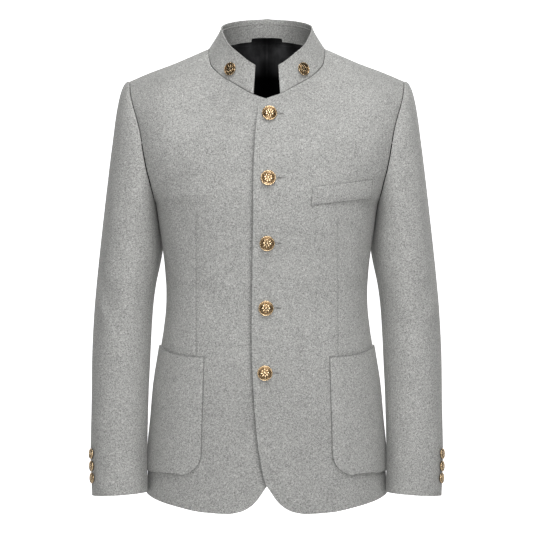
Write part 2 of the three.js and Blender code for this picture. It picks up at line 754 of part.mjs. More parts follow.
// Buttons: a domed disc with a raised rim on a short shank.
function buttonShape(radius) {
  const scale = radius / BUTTON_R;
  const thick = 0.75 + 0.25 * scale;
  const profile = [
    [0, 0], [SHANK_R * scale, 0], [SHANK_R * scale, 1.1], [0.86 * radius, 1.4],
    [radius, 1.4 + 0.9 * thick], [radius, 1.4 + 1.7 * thick], [0.93 * radius, 1.4 + 2.5 * thick],
    [0.8 * radius, 1.4 + 2.1 * thick], [0.45 * radius, 1.4 + 2.9 * thick], [0, 1.4 + 3.3 * thick],
  ];
  const positions = [V(0, 0, profile[0][1])];
  const triangles = [];
  const rings = profile.slice(1, -1);
  rings.forEach(([r, z]) => {
    for (let k = 0; k < BUTTON_SIDES; k += 1) {
      const a = (k / BUTTON_SIDES) * 2 * Math.PI;
      positions.push(V(r * Math.cos(a), r * Math.sin(a), z));
    }
  });
  positions.push(V(0, 0, profile.at(-1)[1]));
  const ringAt = (ring, k) => 1 + ring * BUTTON_SIDES + (k % BUTTON_SIDES);
  for (let k = 0; k < BUTTON_SIDES; k += 1) {
    triangles.push([0, ringAt(0, k + 1), ringAt(0, k)]);
    for (let ring = 0; ring < rings.length - 1; ring += 1) {
      triangles.push([ringAt(ring, k), ringAt(ring, k + 1), ringAt(ring + 1, k + 1)]);
      triangles.push([ringAt(ring, k), ringAt(ring + 1, k + 1), ringAt(ring + 1, k)]);
    }
    triangles.push([ringAt(rings.length - 1, k), ringAt(rings.length - 1, k + 1), positions.length - 1]);
  }
  return solidOf(positions, triangles);
}

// How far the cloth stands out under a button's foot, by rays sent in from outside.
function clothUnder(name, point, normal, reach) {
  const cloth = group.getObjectByName(name);
  const side = V(0, 0, 1).cross(normal).normalize();
  const up = normal.clone().cross(side);
  const spots = [[0, 0], [1, 0], [-1, 0], [0, 1], [0, -1]];
  const heights = spots.map(([a, b]) => {
    const start = point.clone().addScaledVector(side, a * reach).addScaledVector(up, b * reach);
    const ray = new THREE.Raycaster(start.addScaledVector(normal, RAY_START), normal.clone().negate());
    const hits = ray.intersectObject(cloth);
    return hits.length ? RAY_START - hits[0].distance : 0;
  });
  return Math.max(...heights);
}

function placedButton(radius, point, normal, name) {
  const geometry = buttonShape(radius);
  geometry.applyQuaternion(new THREE.Quaternion().setFromUnitVectors(V(0, 0, 1), normal));
  const height = clothUnder(name, point, normal, (SHANK_R * radius) / BUTTON_R);
  const seat = point.clone().addScaledVector(normal, height + GAP);
  geometry.translate(seat.x, seat.y, seat.z);
  return geometry;
}

const surfaceNormal = (at, u, v) => {
  const step = 1;
  const du = at(u + step, v).sub(at(u - step, v));
  const dv = at(u, v + step).sub(at(u, v - step));
  return du.cross(dv).normalize();
};

for (let i = 0; i < BUTTON_COUNT; i += 1) {
  const x = BUTTON_TOP_X - BUTTON_DRIFT_X * i;
  const z = BUTTON_TOP_Z - BUTTON_PITCH * i;
  const normal = surfaceNormal(frontAt, x, z);
  add(`button_front_${i + 1}`, placedButton(BUTTON_R, frontAt(x, z), normal, 'front_left'), GOLD_BRASS);
}

const topShare = (x) => {
  let low = 0;
  let high = 0.45;
  for (let i = 0; i < 40; i += 1) {
    const m = (low + high) / 2;
    if (collarSurface(m, COLLAR_BUTTON_RISE).x < x) low = m;
    else high = m;
  }
  return (low + high) / 2;
};
function neckAlong(share) {
  const length = share * neckLength.at(-1);
  let j = 0;
  while (j < neckLength.length - 2 && neckLength[j + 1] < length) j += 1;
  const s = (length - neckLength[j]) / (neckLength[j + 1] - neckLength[j]);
  return { j, s };
}
function collarSurface(share, rise) {
  const { j, s } = neckAlong(share);
  const low = halfNeck[j].clone().lerp(halfNeck[j + 1], s);
  const high = halfTop[j].clone().lerp(halfTop[j + 1], s);
  return low.lerp(high, rise);
}
const collarShare = topShare(COLLAR_BUTTON_X);
const collarStep = (u, v) => collarSurface(u / 200, v / 60);
const collarOut = surfaceNormal(collarStep, collarShare * 200, COLLAR_BUTTON_RISE * 60);
if (collarOut.y > 0) collarOut.negate();
const collarSeat = collarSurface(collarShare, COLLAR_BUTTON_RISE);
['left', 'right'].forEach((side, i) => {
  const mirror = V(1 - 2 * i, 1, 1);
  const seat = collarSeat.clone().multiply(mirror);
  const out = collarOut.clone().multiply(mirror);
  add(`button_collar_${side}`, placedButton(COLLAR_BUTTON_R, seat, out, 'collar'), GOLD_BRASS);
});

CUFF_BUTTONS_Z.forEach((z, i) => {
  const seat = armPoint(CUFF_BUTTON_ANGLE, z);
  const out = surfaceNormal((a, b) => armPoint(a, b), CUFF_BUTTON_ANGLE, z);
  if (out.x < 0) out.negate();
  ['left', 'right'].forEach((side, k) => {
    const mirror = V(1 - 2 * k, 1, 1);
    const at = seat.clone().multiply(mirror);
    const facing = out.clone().multiply(mirror);
    const button = placedButton(CUFF_BUTTON_R, at, facing, `sleeve_${side}_top`);
    add(`button_cuff_${side}_${i + 1}`, button, GOLD_BRASS);
  });
});

export default group;
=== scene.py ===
"""A fitted grey wool blazer with a stand collar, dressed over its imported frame.

The cloth pieces are thin sheets worked out on the same form as the solids, in the same row frame: metres,
+Z up, the chest facing -Y and the wearer's left at +X. The cut is tabled in
millimetres, as a tailor would note it.
"""

import logging
import math
from collections.abc import Callable
from dataclasses import dataclass, field
from enum import Enum

import bpy
import numpy as np
from mathutils import Matrix, Vector

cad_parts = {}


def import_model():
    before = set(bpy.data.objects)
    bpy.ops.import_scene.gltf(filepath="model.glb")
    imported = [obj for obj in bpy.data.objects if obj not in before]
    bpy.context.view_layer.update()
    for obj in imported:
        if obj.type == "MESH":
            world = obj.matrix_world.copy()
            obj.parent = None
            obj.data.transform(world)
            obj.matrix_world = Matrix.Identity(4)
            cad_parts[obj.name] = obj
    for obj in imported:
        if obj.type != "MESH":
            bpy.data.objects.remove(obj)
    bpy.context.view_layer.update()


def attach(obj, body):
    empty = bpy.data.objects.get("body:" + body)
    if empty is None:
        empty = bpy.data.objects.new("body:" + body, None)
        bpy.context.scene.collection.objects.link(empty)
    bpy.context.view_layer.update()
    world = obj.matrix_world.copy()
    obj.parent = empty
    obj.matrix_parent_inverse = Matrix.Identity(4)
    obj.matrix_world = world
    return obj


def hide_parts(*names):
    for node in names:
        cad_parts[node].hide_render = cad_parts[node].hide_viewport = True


logging.basicConfig(level=logging.INFO, format="%(message)s")
LOG = logging.getLogger("blazer")

MM = 0.001
WOOL = 2.5
COLLAR_WOOL = 2.2
FACING_CLOTH = 1.2
LINING_CLOTH = 1.0
PATCH_CLOTH = 2.2
WELT_CLOTH = 1.3
LOOP_CLOTH = 1.2
GAP = 0.3
FACING_GAP = 0.5
LINING_GAP = 0.5
SEWN = 0.12
LAP_STEP = 1.8
LAP_FLAT = 20.0
LAP_FADE = 60.0
NECK_HALF = 88.5
SHOULDER_HALF = 209.0
SHOULDER_H = 41.5
PAD_RISE = 3.0
PAD_FROM = 130.0
PAD_FULL = 190.0
PAD_END_H = -60.0
HOLLOW_DEPTH = 18.0
HOLLOW_END_X = 160.0
HOLLOW_LOW_H = -150.0
HOLLOW_FULL_H = -60.0
HOLLOW_TOP_H = 20.0
NECK_GROOVE = 0.8
SKIRT_Z = -600.0
DART_X = 105.0

Grid = np.ndarray


class Side(Enum):
    """The wearer's side that a piece belongs to, with the sign of its X."""

    LEFT = 1
    RIGHT = -1

    @property
    def word(self) -> str:
        """The side's name as piece names spell it."""
        return self.name.lower()


class Panel(Enum):
    """The half of the body that a row of the form belongs to."""

    FRONT = "front"
    BACK = "back"


class Slot(Enum):
    """The record's material slots."""

    WOOL = "grey_wool"
    LINING = "black_lining"
    BRASS = "gold_brass"


@dataclass(frozen=True)
class Table:
    """A short table whose first column is the key.

    Args:
        columns: The columns' names.
        rows: The rows, with keys that only rise or only fall.
    """

    columns: tuple[str, ...]
    rows: tuple[tuple[float, ...], ...]

    def at(self, key: np.ndarray | float, column: str) -> np.ndarray:
        """Reads a column smoothly between the rows, without overshoot.

        Args:
            key: Where to read, one number or many.
            column: The column's name.

        Returns:
            The values, in the shape of the keys.
        """
        data = np.asarray(self.rows, dtype=float)
        if data[0, 0] > data[-1, 0]:
            data = data[::-1]
        keys, values = data[:, 0], data[:, self.columns.index(column)]
        step = np.diff(values) / np.diff(keys)
        slopes = np.empty(len(keys))
        slopes[0], slopes[-1] = step[0], step[-1]
        before, after = step[:-1], step[1:]
        same = before * after > 0
        total = np.where(same, before + after, 1.0)
        slopes[1:-1] = np.where(same, 2 * before * after / total, 0.0)
        k = np.clip(np.asarray(key, dtype=float), keys[0], keys[-1])
        i = np.clip(np.searchsorted(keys, k, side="right") - 1, 0, len(keys) - 2)
        width = keys[i + 1] - keys[i]
        s = (k - keys[i]) / width
        smooth = s * s * (3 - 2 * s)
        bend = slopes[i] * s * (1 - s) ** 2 - slopes[i + 1] * s * s * (1 - s)
        return values[i] + (values[i + 1] - values[i]) * smooth + width * bend


EDGE = Table(
    ("h", "tilt", "x", "front_y", "back_y"),
    (
        (41.5, 0.438, 209, 4, 4), (30, 0.43, 207.5, -12, 23), (10, 0.4, 205.5, -26, 38),
        (-20, 0.33, 201.5, -38, 49), (-60, 0.25, 194.5, -48, 56), (-100, 0.165, 189, -54, 60),
        (-140, 0.09, 185, -57, 60), (-175, 0.035, 180.5, -56, 56), (-205, 0.006, 174.5, -46, 45),
        (-225, 0, 170.5, -26, 27), (-238, 0, 168, 8, 8), (-268, 0, 163.5, 8, 8),
        (-296, 0, 159.4, 8, 8), (-339, 0, 154.5, 8, 8), (-380, 0, 152.8, 8, 8),
        (-426, 0, 157.3, 8, 8), (-448, 0, 160.8, 8, 8), (-508, 0, 170.2, 8, 8),
        (-562, 0, 175, 8, 8), (-597, 0, 178.5, 8, 8), (-671, 0, 183, 8, 8),
    ),
)
FRONT_MID = Table(
    ("h", "y", "turn", "handle"),
    (
        (41.5, 4, 0, 60), (30, -22, 15, 58), (10, -47, 28, 55), (-20, -69, 40, 50),
        (-60, -87, 50, 46), (-120, -106, 55, 46), (-175, -118, 60, 47), (-205, -121, 70, 52),
        (-225, -122, 82, 74), (-238, -122, 90, 104), (-320, -116, 90, 98), (-400, -111, 90, 94),
        (-500, -115, 90, 98), (-600, -120, 90, 102), (-690, -120, 90, 102),
    ),
)
BACK_MID = Table(
    ("h", "y", "turn", "handle"),
    (
        (41.5, 4, 0, 60), (30, 50, 18, 56), (18, 69, 28, 54), (0, 82, 38, 52), (-40, 95, 46, 50),
        (-100, 105, 52, 48), (-150, 110, 57, 47), (-175, 110.5, 60, 46), (-205, 110, 70, 50),
        (-225, 109.5, 82, 66), (-238, 109, 90, 84), (-300, 102, 90, 80), (-380, 95, 90, 74),
        (-450, 99, 90, 78), (-550, 111, 90, 88), (-671, 119, 90, 94),
    ),
)
FRONT_EDGE = Table(
    ("z", "x"),
    (
        (-88, -13), (-112, -15.4), (-175, -19.4), (-320, -21.3), (-435, -22.5), (-513, -19.8),
        (-565, -15.9), (-600, -11.9), (-628, -7), (-643, -3.4), (-662, 8),
    ),
)
FRONT_HEM = Table(
    ("x", "z"),
    (
        (8, -662), (14, -670.5), (21.3, -678), (30, -684), (39.5, -688), (57.7, -691), (94, -689.5),
        (137, -682.5), (163, -677), (183, -671),
    ),
)
ROWS = Table(
    ("row", "edge", "start"),
    tuple(
        (float(i), float(edge), float(start))
        for i, (edge, start) in enumerate(
            (
                (41.5, 41.5), (30, 30), (10, 10.4), (-20, -18.5), (-60, -45), (-100, -69),
                (-140, -81), (-175, -88), (-205, -112), (-225, -150), (-238, -190), (-268, -230),
                (-300, -272), (-335, -315), (-375, -360), (-415, -403), (-455, -447), (-495, -490),
                (-530, -528), (-565, -565), (-600, -600),
            )
        )
    ),
)
NECKLINE = Table(
    ("row", "x"),
    ((0, 88.5), (1, 88), (2, 85), (3, 70.5), (4, 47), (5, 20.4), (6, 0.5), (7, -13)),
)
BACK_NECK = Table(("x", "h"), ((0, 18), (24, 19), (47, 24.5), (70, 33.5), (88.5, 41.5), (209, 41.5)))
NECK_SHARE = Table(("row", "share"), ((0, 1), (1, 0.85), (2, 0.55), (3, 0.22), (4, 0), (20, 0)))
ARM = Table(
    ("z", "x", "half_x", "y", "half_y"),
    (
        (-304, 207.8, 46.4, 8, 68), (-399, 217.9, 44.4, 2, 62), (-467, 220.7, 44.1, -8, 58),
        (-521, 221.8, 43.2, -17, 55), (-602, 222.4, 42.6, -32, 52), (-675, 219.9, 41.6, -44, 50),
    ),
)
HEAD_ANGLES = Table(
    ("row", "angle"),
    tuple((float(i), float(a)) for i, a in enumerate((90, 74, 58, 44, 30, 16, 3, -10, -28, -52, -90))),
)
LONG_SEAMS = Table(
    ("z", "front", "back"),
    (
        (-238, -54, 164), (-304, -58, 158), (-430, -61, 138), (-560, -62, 118), (-672, -62, 112),
    ),
)
COLLAR_TOP = Table(
    ("angle", "z"),
    (
        (14.5, -30.5), (24, -23.6), (38, -11.5), (56, 3), (71, 18.5), (90, 32), (120, 43.5),
        (150, 51), (180, 54.5),
    ),
)
HEAD_END_Z = -304.0
CUFF_Z = -668.6
TURN_UP = 32.0


def bezier(a: np.ndarray, b: np.ndarray, c: np.ndarray, d: np.ndarray, t: np.ndarray) -> np.ndarray:
    """A cubic curve from a to d, pulled towards b and c, at t."""
    s = 1 - t
    return s**3 * a + 3 * s * s * t * b + 3 * s * t * t * c + t**3 * d


def unit(v: np.ndarray) -> np.ndarray:
    """Vectors of length one."""
    return v / np.maximum(np.linalg.norm(v, axis=-1, keepdims=True), 1e-9)


def directions(grid: Grid) -> Grid:
    """Directions across a grid of points, from its rows to its columns."""
    down = np.gradient(grid, axis=0)
    along = np.gradient(grid, axis=1)
    return unit(np.cross(down, along))


def spread(stops: tuple[float, ...], counts: tuple[int, ...]) -> np.ndarray:
    """Numbers from stop to stop, with a count of steps between each two."""
    parts = [np.linspace(a, b, n, endpoint=False) for a, b, n in zip(stops, stops[1:], counts)]
    return np.append(np.concatenate(parts), stops[-1])


def eased(values: np.ndarray, low: float, high: float) -> np.ndarray:
    """A smooth rise from 0 at low to 1 at high."""
    s = np.clip((values - low) / (high - low), 0, 1)
    return s * s * (3 - 2 * s)


def lengths(line: Grid) -> np.ndarray:
    """How far along a line each of its points lies."""
    return np.concatenate([[0], np.cumsum(np.linalg.norm(np.diff(line, axis=0), axis=-1))])


def resampled(at: np.ndarray, places: np.ndarray, line: Grid) -> Grid:
    """Points of a line at new places, from its points at their own places."""
    return np.stack([np.interp(at, places, line[:, k]) for k in range(3)], axis=-1)


@dataclass(frozen=True)
class Fold:
    """A soft crease along a line on a piece.

    Args:
        start: Where it begins, across and up, in millimetres.
        end: Where it ends.
        width: Half of its width.
        depth: How far the cloth moves: in where negative, out where positive.
    """

    start: tuple[float, float]
    end: tuple[float, float]
    width: float
    depth: float

    def rise(self, across: np.ndarray, up: np.ndarray) -> np.ndarray:
        """How far the cloth stands out at each place.

        Args:
            across: Places across, in millimetres.
            up: Places up.

        Returns:
            The rise at each place.
        """
        ax, az = self.start
        bx, bz = self.end
        length = math.hypot(bx - ax, bz - az)
        ux, uz = (bx - ax) / length, (bz - az) / length
        s = ((across - ax) * ux + (up - az) * uz) / length
        away = (across - ax) * uz - (up - az) * ux
        bow = 0.06 * length * np.sin(np.pi * np.clip(s, 0, 1))
        taper = eased(s, -0.18, 0.3) * (1 - eased(s, 0.7, 1.18))
        return self.depth * taper * np.exp(-(((away - bow) / self.width) ** 2))


def folded(folds: tuple[Fold, ...], across: np.ndarray, up: np.ndarray) -> np.ndarray:
    """How far the cloth stands out at several folds together."""
    return sum(fold.rise(across, up) for fold in folds)


class Form:
    """The worn shape of the body, by rows that run from its middle to the side seam or the armhole."""

    def controls(self, panel: Panel, h: np.ndarray) -> tuple[list[np.ndarray], list[np.ndarray]]:
        """Control values of the rows at the heights h.

        Args:
            panel: Front or back.
            h: Heights of the rows at their middle.

        Returns:
            Four X values and four Y values.
        """
        front = panel is Panel.FRONT
        mid = FRONT_MID if front else BACK_MID
        x = EDGE.at(h, "x")
        edge_y = EDGE.at(h, "front_y" if front else "back_y")
        mid_y = mid.at(h, "y")
        turn = np.radians(mid.at(h, "turn"))
        handle = mid.at(h, "handle")
        inward = -1 if front else 1
        xs = [np.zeros_like(x), 0.5 * x, x - handle * np.cos(turn), x]
        ys = [mid_y, mid_y, edge_y + inward * handle * np.sin(turn), edge_y]
        return xs, ys

    def fall(self, panel: Panel, across: np.ndarray, h: np.ndarray) -> np.ndarray:
        """How far a row of height h has fallen at a place across, less what the shoulder pad lifts it."""
        level = 1.0 if panel is Panel.FRONT else eased(across, 0, NECK_HALF)
        pad = PAD_RISE * eased(h, PAD_END_H, SHOULDER_H) * eased(across, PAD_FROM, PAD_FULL)
        return EDGE.at(h, "tilt") * across * level - pad

    @staticmethod
    def sunk(panel: Panel, across: np.ndarray, h: np.ndarray) -> np.ndarray:
        """How far the front sinks into the shallow hollow beside the neck."""
        rows = eased(h, HOLLOW_LOW_H, HOLLOW_FULL_H) * (1 - eased(h, HOLLOW_TOP_H, SHOULDER_H))
        beside = eased(across, 0, NECK_HALF) * (1 - eased(across, NECK_HALF, HOLLOW_END_X))
        return (HOLLOW_DEPTH if panel is Panel.FRONT else 0.0) * rows * beside

    def point(self, panel: Panel, t: np.ndarray, h: np.ndarray) -> Grid:
        """Points of the form at t along the rows of height h; a negative t lies past the middle."""
        xs, ys = self.controls(panel, h)
        across = bezier(*xs, np.abs(t))
        y = bezier(*ys, np.abs(t)) + self.sunk(panel, across, h)
        return np.stack([np.sign(t) * across, y, h - self.fall(panel, across, h)], axis=-1)

    def find(self, panel: Panel, x: np.ndarray, h: np.ndarray) -> np.ndarray:
        """How far along the rows of height h the places x lie."""
        xs, _ = self.controls(panel, h)
        low, high = np.zeros_like(x + h), np.ones_like(x + h)
        for _ in range(36):
            middle = (low + high) / 2
            short = bezier(*xs, middle) < np.abs(x)
            low, high = np.where(short, middle, low), np.where(short, high, middle)
        return np.sign(x) * (low + high) / 2

    def at(self, panel: Panel, x: np.ndarray, z: np.ndarray) -> Grid:
        """Points of the form at given places X and Z."""
        x, z = np.broadcast_arrays(np.asarray(x, dtype=float), np.asarray(z, dtype=float))
        h = z.copy()
        for _ in range(14):
            h = z + self.fall(panel, np.abs(x), h)
        return self.point(panel, self.find(panel, x, h), h)

    def facing(self, panel: Panel, x: np.ndarray, z: np.ndarray) -> Grid:
        """Outward directions of the form at given places X and Z."""
        step = 1.0
        dx = self.at(panel, x + step, z) - self.at(panel, x - step, z)
        dz = self.at(panel, x, z + step) - self.at(panel, x, z - step)
        normal = unit(np.cross(dx, dz))
        return normal if panel is Panel.FRONT else -normal


FORM = Form()


def lap_rise(x: np.ndarray, sign: int) -> np.ndarray:
    """How far a front stands out or sinks where the two fronts lap."""
    return sign * LAP_STEP * (1 - eased(np.abs(x), LAP_FLAT, LAP_FADE))


def with_border(grid: Grid, top: bool, bottom: bool, start: bool, end: bool) -> Grid:
    """Adds close rows and columns inside the borders named, for a seam's groove or a turned edge."""
    steps = (0.22, 0.55)
    for axis, first, last in ((1, start, end), (0, top, bottom)):
        for wanted, way in ((first, 1), (last, -1)):
            if wanted:
                side = np.swapaxes(grid, 0, axis)[::way]
                new = [side[:1] + (side[1:2] - side[:1]) * s for s in steps]
                grid = np.swapaxes(np.concatenate([side[:1], *new, side[1:]])[::way], 0, axis)
    return grid


def border_distance(grid: Grid, top: bool, bottom: bool, start: bool, end: bool) -> np.ndarray:
    """Distance of each point from the nearest of the borders named, measured along the cloth."""
    away = np.full(grid.shape[:2], 1e3)
    for axis, first, last in ((0, top, bottom), (1, start, end)):
        steps = np.linalg.norm(np.diff(grid, axis=axis), axis=-1)
        run = np.insert(np.cumsum(steps, axis=axis), 0, 0, axis=axis)
        if first:
            away = np.minimum(away, run)
        if last:
            away = np.minimum(away, np.take(run, [-1], axis=axis) - run)
    return away


def inset(grid: Grid, top: float = 0, bottom: float = 0, start: float = 0, end: float = 0) -> Grid:
    """Moves the borders of a grid towards its inside, which leaves the gap of a seam."""
    moved = grid.copy()
    moved[0] += unit(grid[1] - grid[0]) * top
    moved[-1] += unit(grid[-2] - grid[-1]) * bottom
    moved[:, 0] += unit(grid[:, 1] - grid[:, 0]) * start
    moved[:, -1] += unit(grid[:, -2] - grid[:, -1]) * end
    return moved


@dataclass
class Cloth:
    """A grid of points that becomes a sheet of cloth with a thickness.

    Args:
        name: The piece's name.
        grid: Points of its outer face, in millimetres.
        thickness: The cloth's thickness.
        nodes: The solids that it stands for.
        slot: The record's slot that it takes its finish from.
        flat: Width and length of the cut, in metres; not used.
        seams: Which borders are sewn down: top, bottom, start, end.
        turned: Whether the grid is mirrored to the wearer's right.
        rests_on: What the piece lies on or hangs from; not used.
        held: How the sheet is held; not used.
        inner: A finish for its inner face, or None for the same one.
        round_edge: Radius of its turned edges, in millimetres.
        groove: How deep its seams lie.
        reverse: Whether the grid's own outward direction points inwards.
        start_seam_above: The height above which its first column is sewn to the collar.
        pressed_and_shaded: Which borders are flattened by pressing and carry painted shade, a dark line along
            them: top, bottom, start, end.
        shade_marks: How much painted shade other lines and bands on it get, from its points.
    """

    name: str
    grid: Grid
    thickness: float
    nodes: tuple[str, ...]
    slot: Slot
    flat: tuple[float, float]
    seams: tuple[bool, bool, bool, bool] = (False, False, False, False)
    turned: bool = False
    rests_on: tuple[str, ...] = ()
    held: str = "hung"
    inner: Slot | None = None
    round_edge: float = 0.8
    groove: float = 0.55
    reverse: bool = False
    start_seam_above: float | None = None
    # Painted shade along chosen borders and along other lines and bands, written to the crease attribute that
    # the wool darkens by.
    pressed_and_shaded: tuple[bool, bool, bool, bool] = (False, False, False, False)
    shade_marks: Callable[[Grid], np.ndarray] | None = None

    def build(self, finishes: "Finishes") -> bpy.types.Object:
        """Args:
            finishes: The materials.

        Returns:
            The finished piece.
        """
        top, bottom, start, end = self.seams
        neck = self.start_seam_above is not None
        grid = with_border(self.grid, top, bottom, start or neck, end)
        if any(self.seams):
            away = border_distance(grid, *self.seams)
            sink = self.groove * np.clip(1 - away / 2.4, 0, 1) ** 2
            if neck:
                away = border_distance(grid, False, False, True, False)
                along = eased(grid[..., 2], self.start_seam_above - 2, self.start_seam_above + 3)
                sink = np.maximum(sink, NECK_GROOVE * along * np.clip(1 - away / 3.0, 0, 1) ** 2)
            normal = directions(grid) * (-1 if self.reverse else 1)
            grid = grid - normal * sink[..., None]
        # The crease attribute holds painted shade, which darkens the wool's colour.
        crease = self.crease_shade(grid)
        if self.turned:
            grid = grid * np.array([-1, 1, 1])
        rows, cols = grid.shape[:2]
        index = np.arange(rows * cols).reshape(rows, cols)
        a, b, c, d = index[:-1, :-1], index[1:, :-1], index[1:, 1:], index[:-1, 1:]
        flip = self.turned != self.reverse
        quads = np.stack([a, d, c, b] if flip else [a, b, c, d], axis=-1).reshape(-1, 4)
        mesh = bpy.data.meshes.new(self.name)
        mesh.from_pydata((grid.reshape(-1, 3) * MM).tolist(), [], quads.tolist())
        self.unwrap(mesh, grid, quads)
        mesh.attributes.new("crease", "FLOAT", "POINT").data.foreach_set("value", crease.reshape(-1))
        piece = bpy.data.objects.new(self.name, mesh)
        bpy.context.collection.objects.link(piece)
        mesh.materials.append(finishes.of(self.slot))
        mesh.materials.append(finishes.of(self.inner or self.slot))
        select_only(piece)
        wall = piece.modifiers.new("cloth", "SOLIDIFY")
        wall.thickness, wall.offset = self.thickness * MM, -1.0
        wall.use_rim = True
        if self.inner:
            wall.material_offset = 1
        bpy.ops.object.modifier_apply(modifier=wall.name)
        edge = piece.modifiers.new("turned_edge", "BEVEL")
        edge.width = min(self.round_edge, 0.42 * self.thickness) * MM
        edge.segments, edge.limit_method, edge.angle_limit = 2, "ANGLE", math.radians(55)
        edge.material = -1
        bpy.ops.object.modifier_apply(modifier=edge.name)
        bpy.ops.object.shade_smooth()
        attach(piece, "root")
        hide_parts(*self.nodes)
        return piece

    def crease_shade(self, grid: Grid) -> np.ndarray:
        """Painted shade on the cloth from 0 to 1, kept in its crease attribute: in its seam grooves and along
        borders flattened by pressing, where it stands for matted wool and shade together, and along its other
        lines and bands of painted shade.
        """
        dark = np.zeros(grid.shape[:2])
        if any(self.seams):
            dark = 0.35 * np.exp(-((border_distance(grid, *self.seams) / 1.0) ** 2))
        if any(self.pressed_and_shaded):
            dark = np.maximum(dark, 0.85 * np.exp(-((border_distance(grid, *self.pressed_and_shaded) / 0.6) ** 2)))
        if self.shade_marks:
            dark = np.maximum(dark, self.shade_marks(grid))
        return np.clip(dark, 0, 1).astype(np.float32)

    @staticmethod
    def measure(grid: Grid) -> float:
        """The sheet's area in square metres."""
        down, along = np.diff(grid, axis=0)[:, :-1], np.diff(grid, axis=1)[:-1]
        return float(np.linalg.norm(np.cross(down, along), axis=-1).sum()) * MM * MM

    @staticmethod
    def unwrap(mesh: bpy.types.Mesh, grid: Grid, quads: np.ndarray) -> None:
        """Gives the mesh a map in metres along its rows and columns."""
        rows = np.linalg.norm(np.diff(grid, axis=0), axis=-1).mean(axis=1)
        cols = np.linalg.norm(np.diff(grid, axis=1), axis=-1).mean(axis=0)
        v = -np.concatenate([[0], np.cumsum(rows)]) * MM
        u = np.concatenate([[0], np.cumsum(cols)]) * MM
        flat = np.stack(np.broadcast_arrays(u[None, :], v[:, None]), axis=-1).reshape(-1, 2)
        layer = mesh.uv_layers.new(name="cloth")
        layer.data.foreach_set("uv", flat[quads.reshape(-1)].astype(np.float32).reshape(-1))


def select_only(piece: bpy.types.Object) -> None:
    """Selects one object and makes it active."""
    bpy.ops.object.select_all(action="DESELECT")
    piece.select_set(True)
    bpy.context.view_layer.objects.active = piece


def joined(parts: list[bpy.types.Object], name: str) -> bpy.types.Object:
    """Joins objects into one, with its place in its mesh.

    Args:
        parts: The objects; the first one keeps its materials first.
        name: The new piece's name.

    Returns:
        The joined piece.
    """
    bpy.ops.object.select_all(action="DESELECT")
    for part in parts:
        part.select_set(True)
    bpy.context.view_layer.objects.active = parts[0]
    bpy.ops.object.transform_apply(location=True, rotation=True, scale=True)
    if len(parts) > 1:
        bpy.ops.object.join()
    piece = bpy.context.view_layer.objects.active
    piece.name = piece.data.name = name
    return piece


Colour = tuple[float, float, float]
Feed = float | tuple[float, ...] | bpy.types.NodeSocket


class Graph:
    """The nodes of one material, added and linked in short calls."""

    def __init__(self, name: str) -> None:
        """Makes the material."""
        self.material = bpy.data.materials.new(name)
        self.material.use_nodes = True
        self.tree = self.material.node_tree
        self.shader = self.tree.nodes["Principled BSDF"]
        self.place = self.add("TexCoord").outputs["Object"]

    def add(self, kind: str, inputs: dict[str | int, Feed] | None = None, **settings: str) -> bpy.types.Node:
        """Adds a node.

        Args:
            kind: Its type, without the prefix.
            inputs: A number, colour or socket for each input named.
            settings: Its own settings, such as an operation.

        Returns:
            The node.
        """
        node = self.tree.nodes.new(f"ShaderNode{kind}")
        for key, value in settings.items():
            setattr(node, key, value)
        self.feed(node, inputs or {})
        return node

    def feed(self, node: bpy.types.Node, inputs: dict[str | int, Feed]) -> None:
        """Sets or links a node's inputs."""
        for key, value in inputs.items():
            if isinstance(value, bpy.types.NodeSocket):
                self.tree.links.new(value, node.inputs[key])
            else:
                node.inputs[key].default_value = value

    def surface(self, inputs: dict[str, Feed]) -> bpy.types.Material:
        """Sets or links the shader's inputs and gives the finished material."""
        self.feed(self.shader, inputs)
        return self.material

    def noise(self, scale: float, detail: float, *rest: float) -> bpy.types.NodeSocket:
        """A noise in the object's own place, with roughness and distortion last where they differ."""
        inputs = {"Vector": self.place, "Scale": scale, "Detail": detail}
        inputs |= dict(zip(("Roughness", "Distortion"), rest))
        return self.add("TexNoise", inputs).outputs["Fac"]

    def maths(self, operation: str, *inputs: Feed) -> bpy.types.NodeSocket:
        """The result of a calculation with one to three inputs."""
        return self.add("Math", dict(enumerate(inputs)), operation=operation).outputs[0]

    def between(
        self, value: bpy.types.NodeSocket, to: tuple[float, float], source: tuple[float, float] = (0.0, 1.0)
    ) -> bpy.types.NodeSocket:
        """A value taken from its own range into another."""
        inputs = dict(zip(("Value", "From Min", "From Max", "To Min", "To Max"), (value, *source, *to)))
        return self.add("MapRange", inputs).outputs["Result"]

    def ramp(
        self, value: bpy.types.NodeSocket, stops: tuple[tuple[float, float | Colour], ...]
    ) -> bpy.types.NodeSocket:
        """A colour for a value, between the greys or colours at the stops given."""
        node = self.add("ValToRGB", {"Fac": value})
        elements = node.color_ramp.elements
        while len(elements) < len(stops):
            elements.new(0.5)
        for element, (place, colour) in zip(elements, stops):
            element.position = place
            element.color = (*colour, 1) if isinstance(colour, tuple) else (colour, colour, colour, 1)
        return node.outputs["Color"]

    def scaled(self, colour: bpy.types.NodeSocket, amount: bpy.types.NodeSocket) -> bpy.types.NodeSocket:
        """A colour made paler or darker by an amount."""
        return self.add("VectorMath", {0: colour, "Scale": amount}, operation="SCALE").outputs["Vector"]

    def bump(
        self, height: bpy.types.NodeSocket, distance: float, strength: float = 1.0
    ) -> bpy.types.NodeSocket:
        """The directions of a finely raised surface."""
        inputs = {"Height": height, "Strength": strength, "Distance": distance}
        return self.add("Bump", inputs).outputs["Normal"]


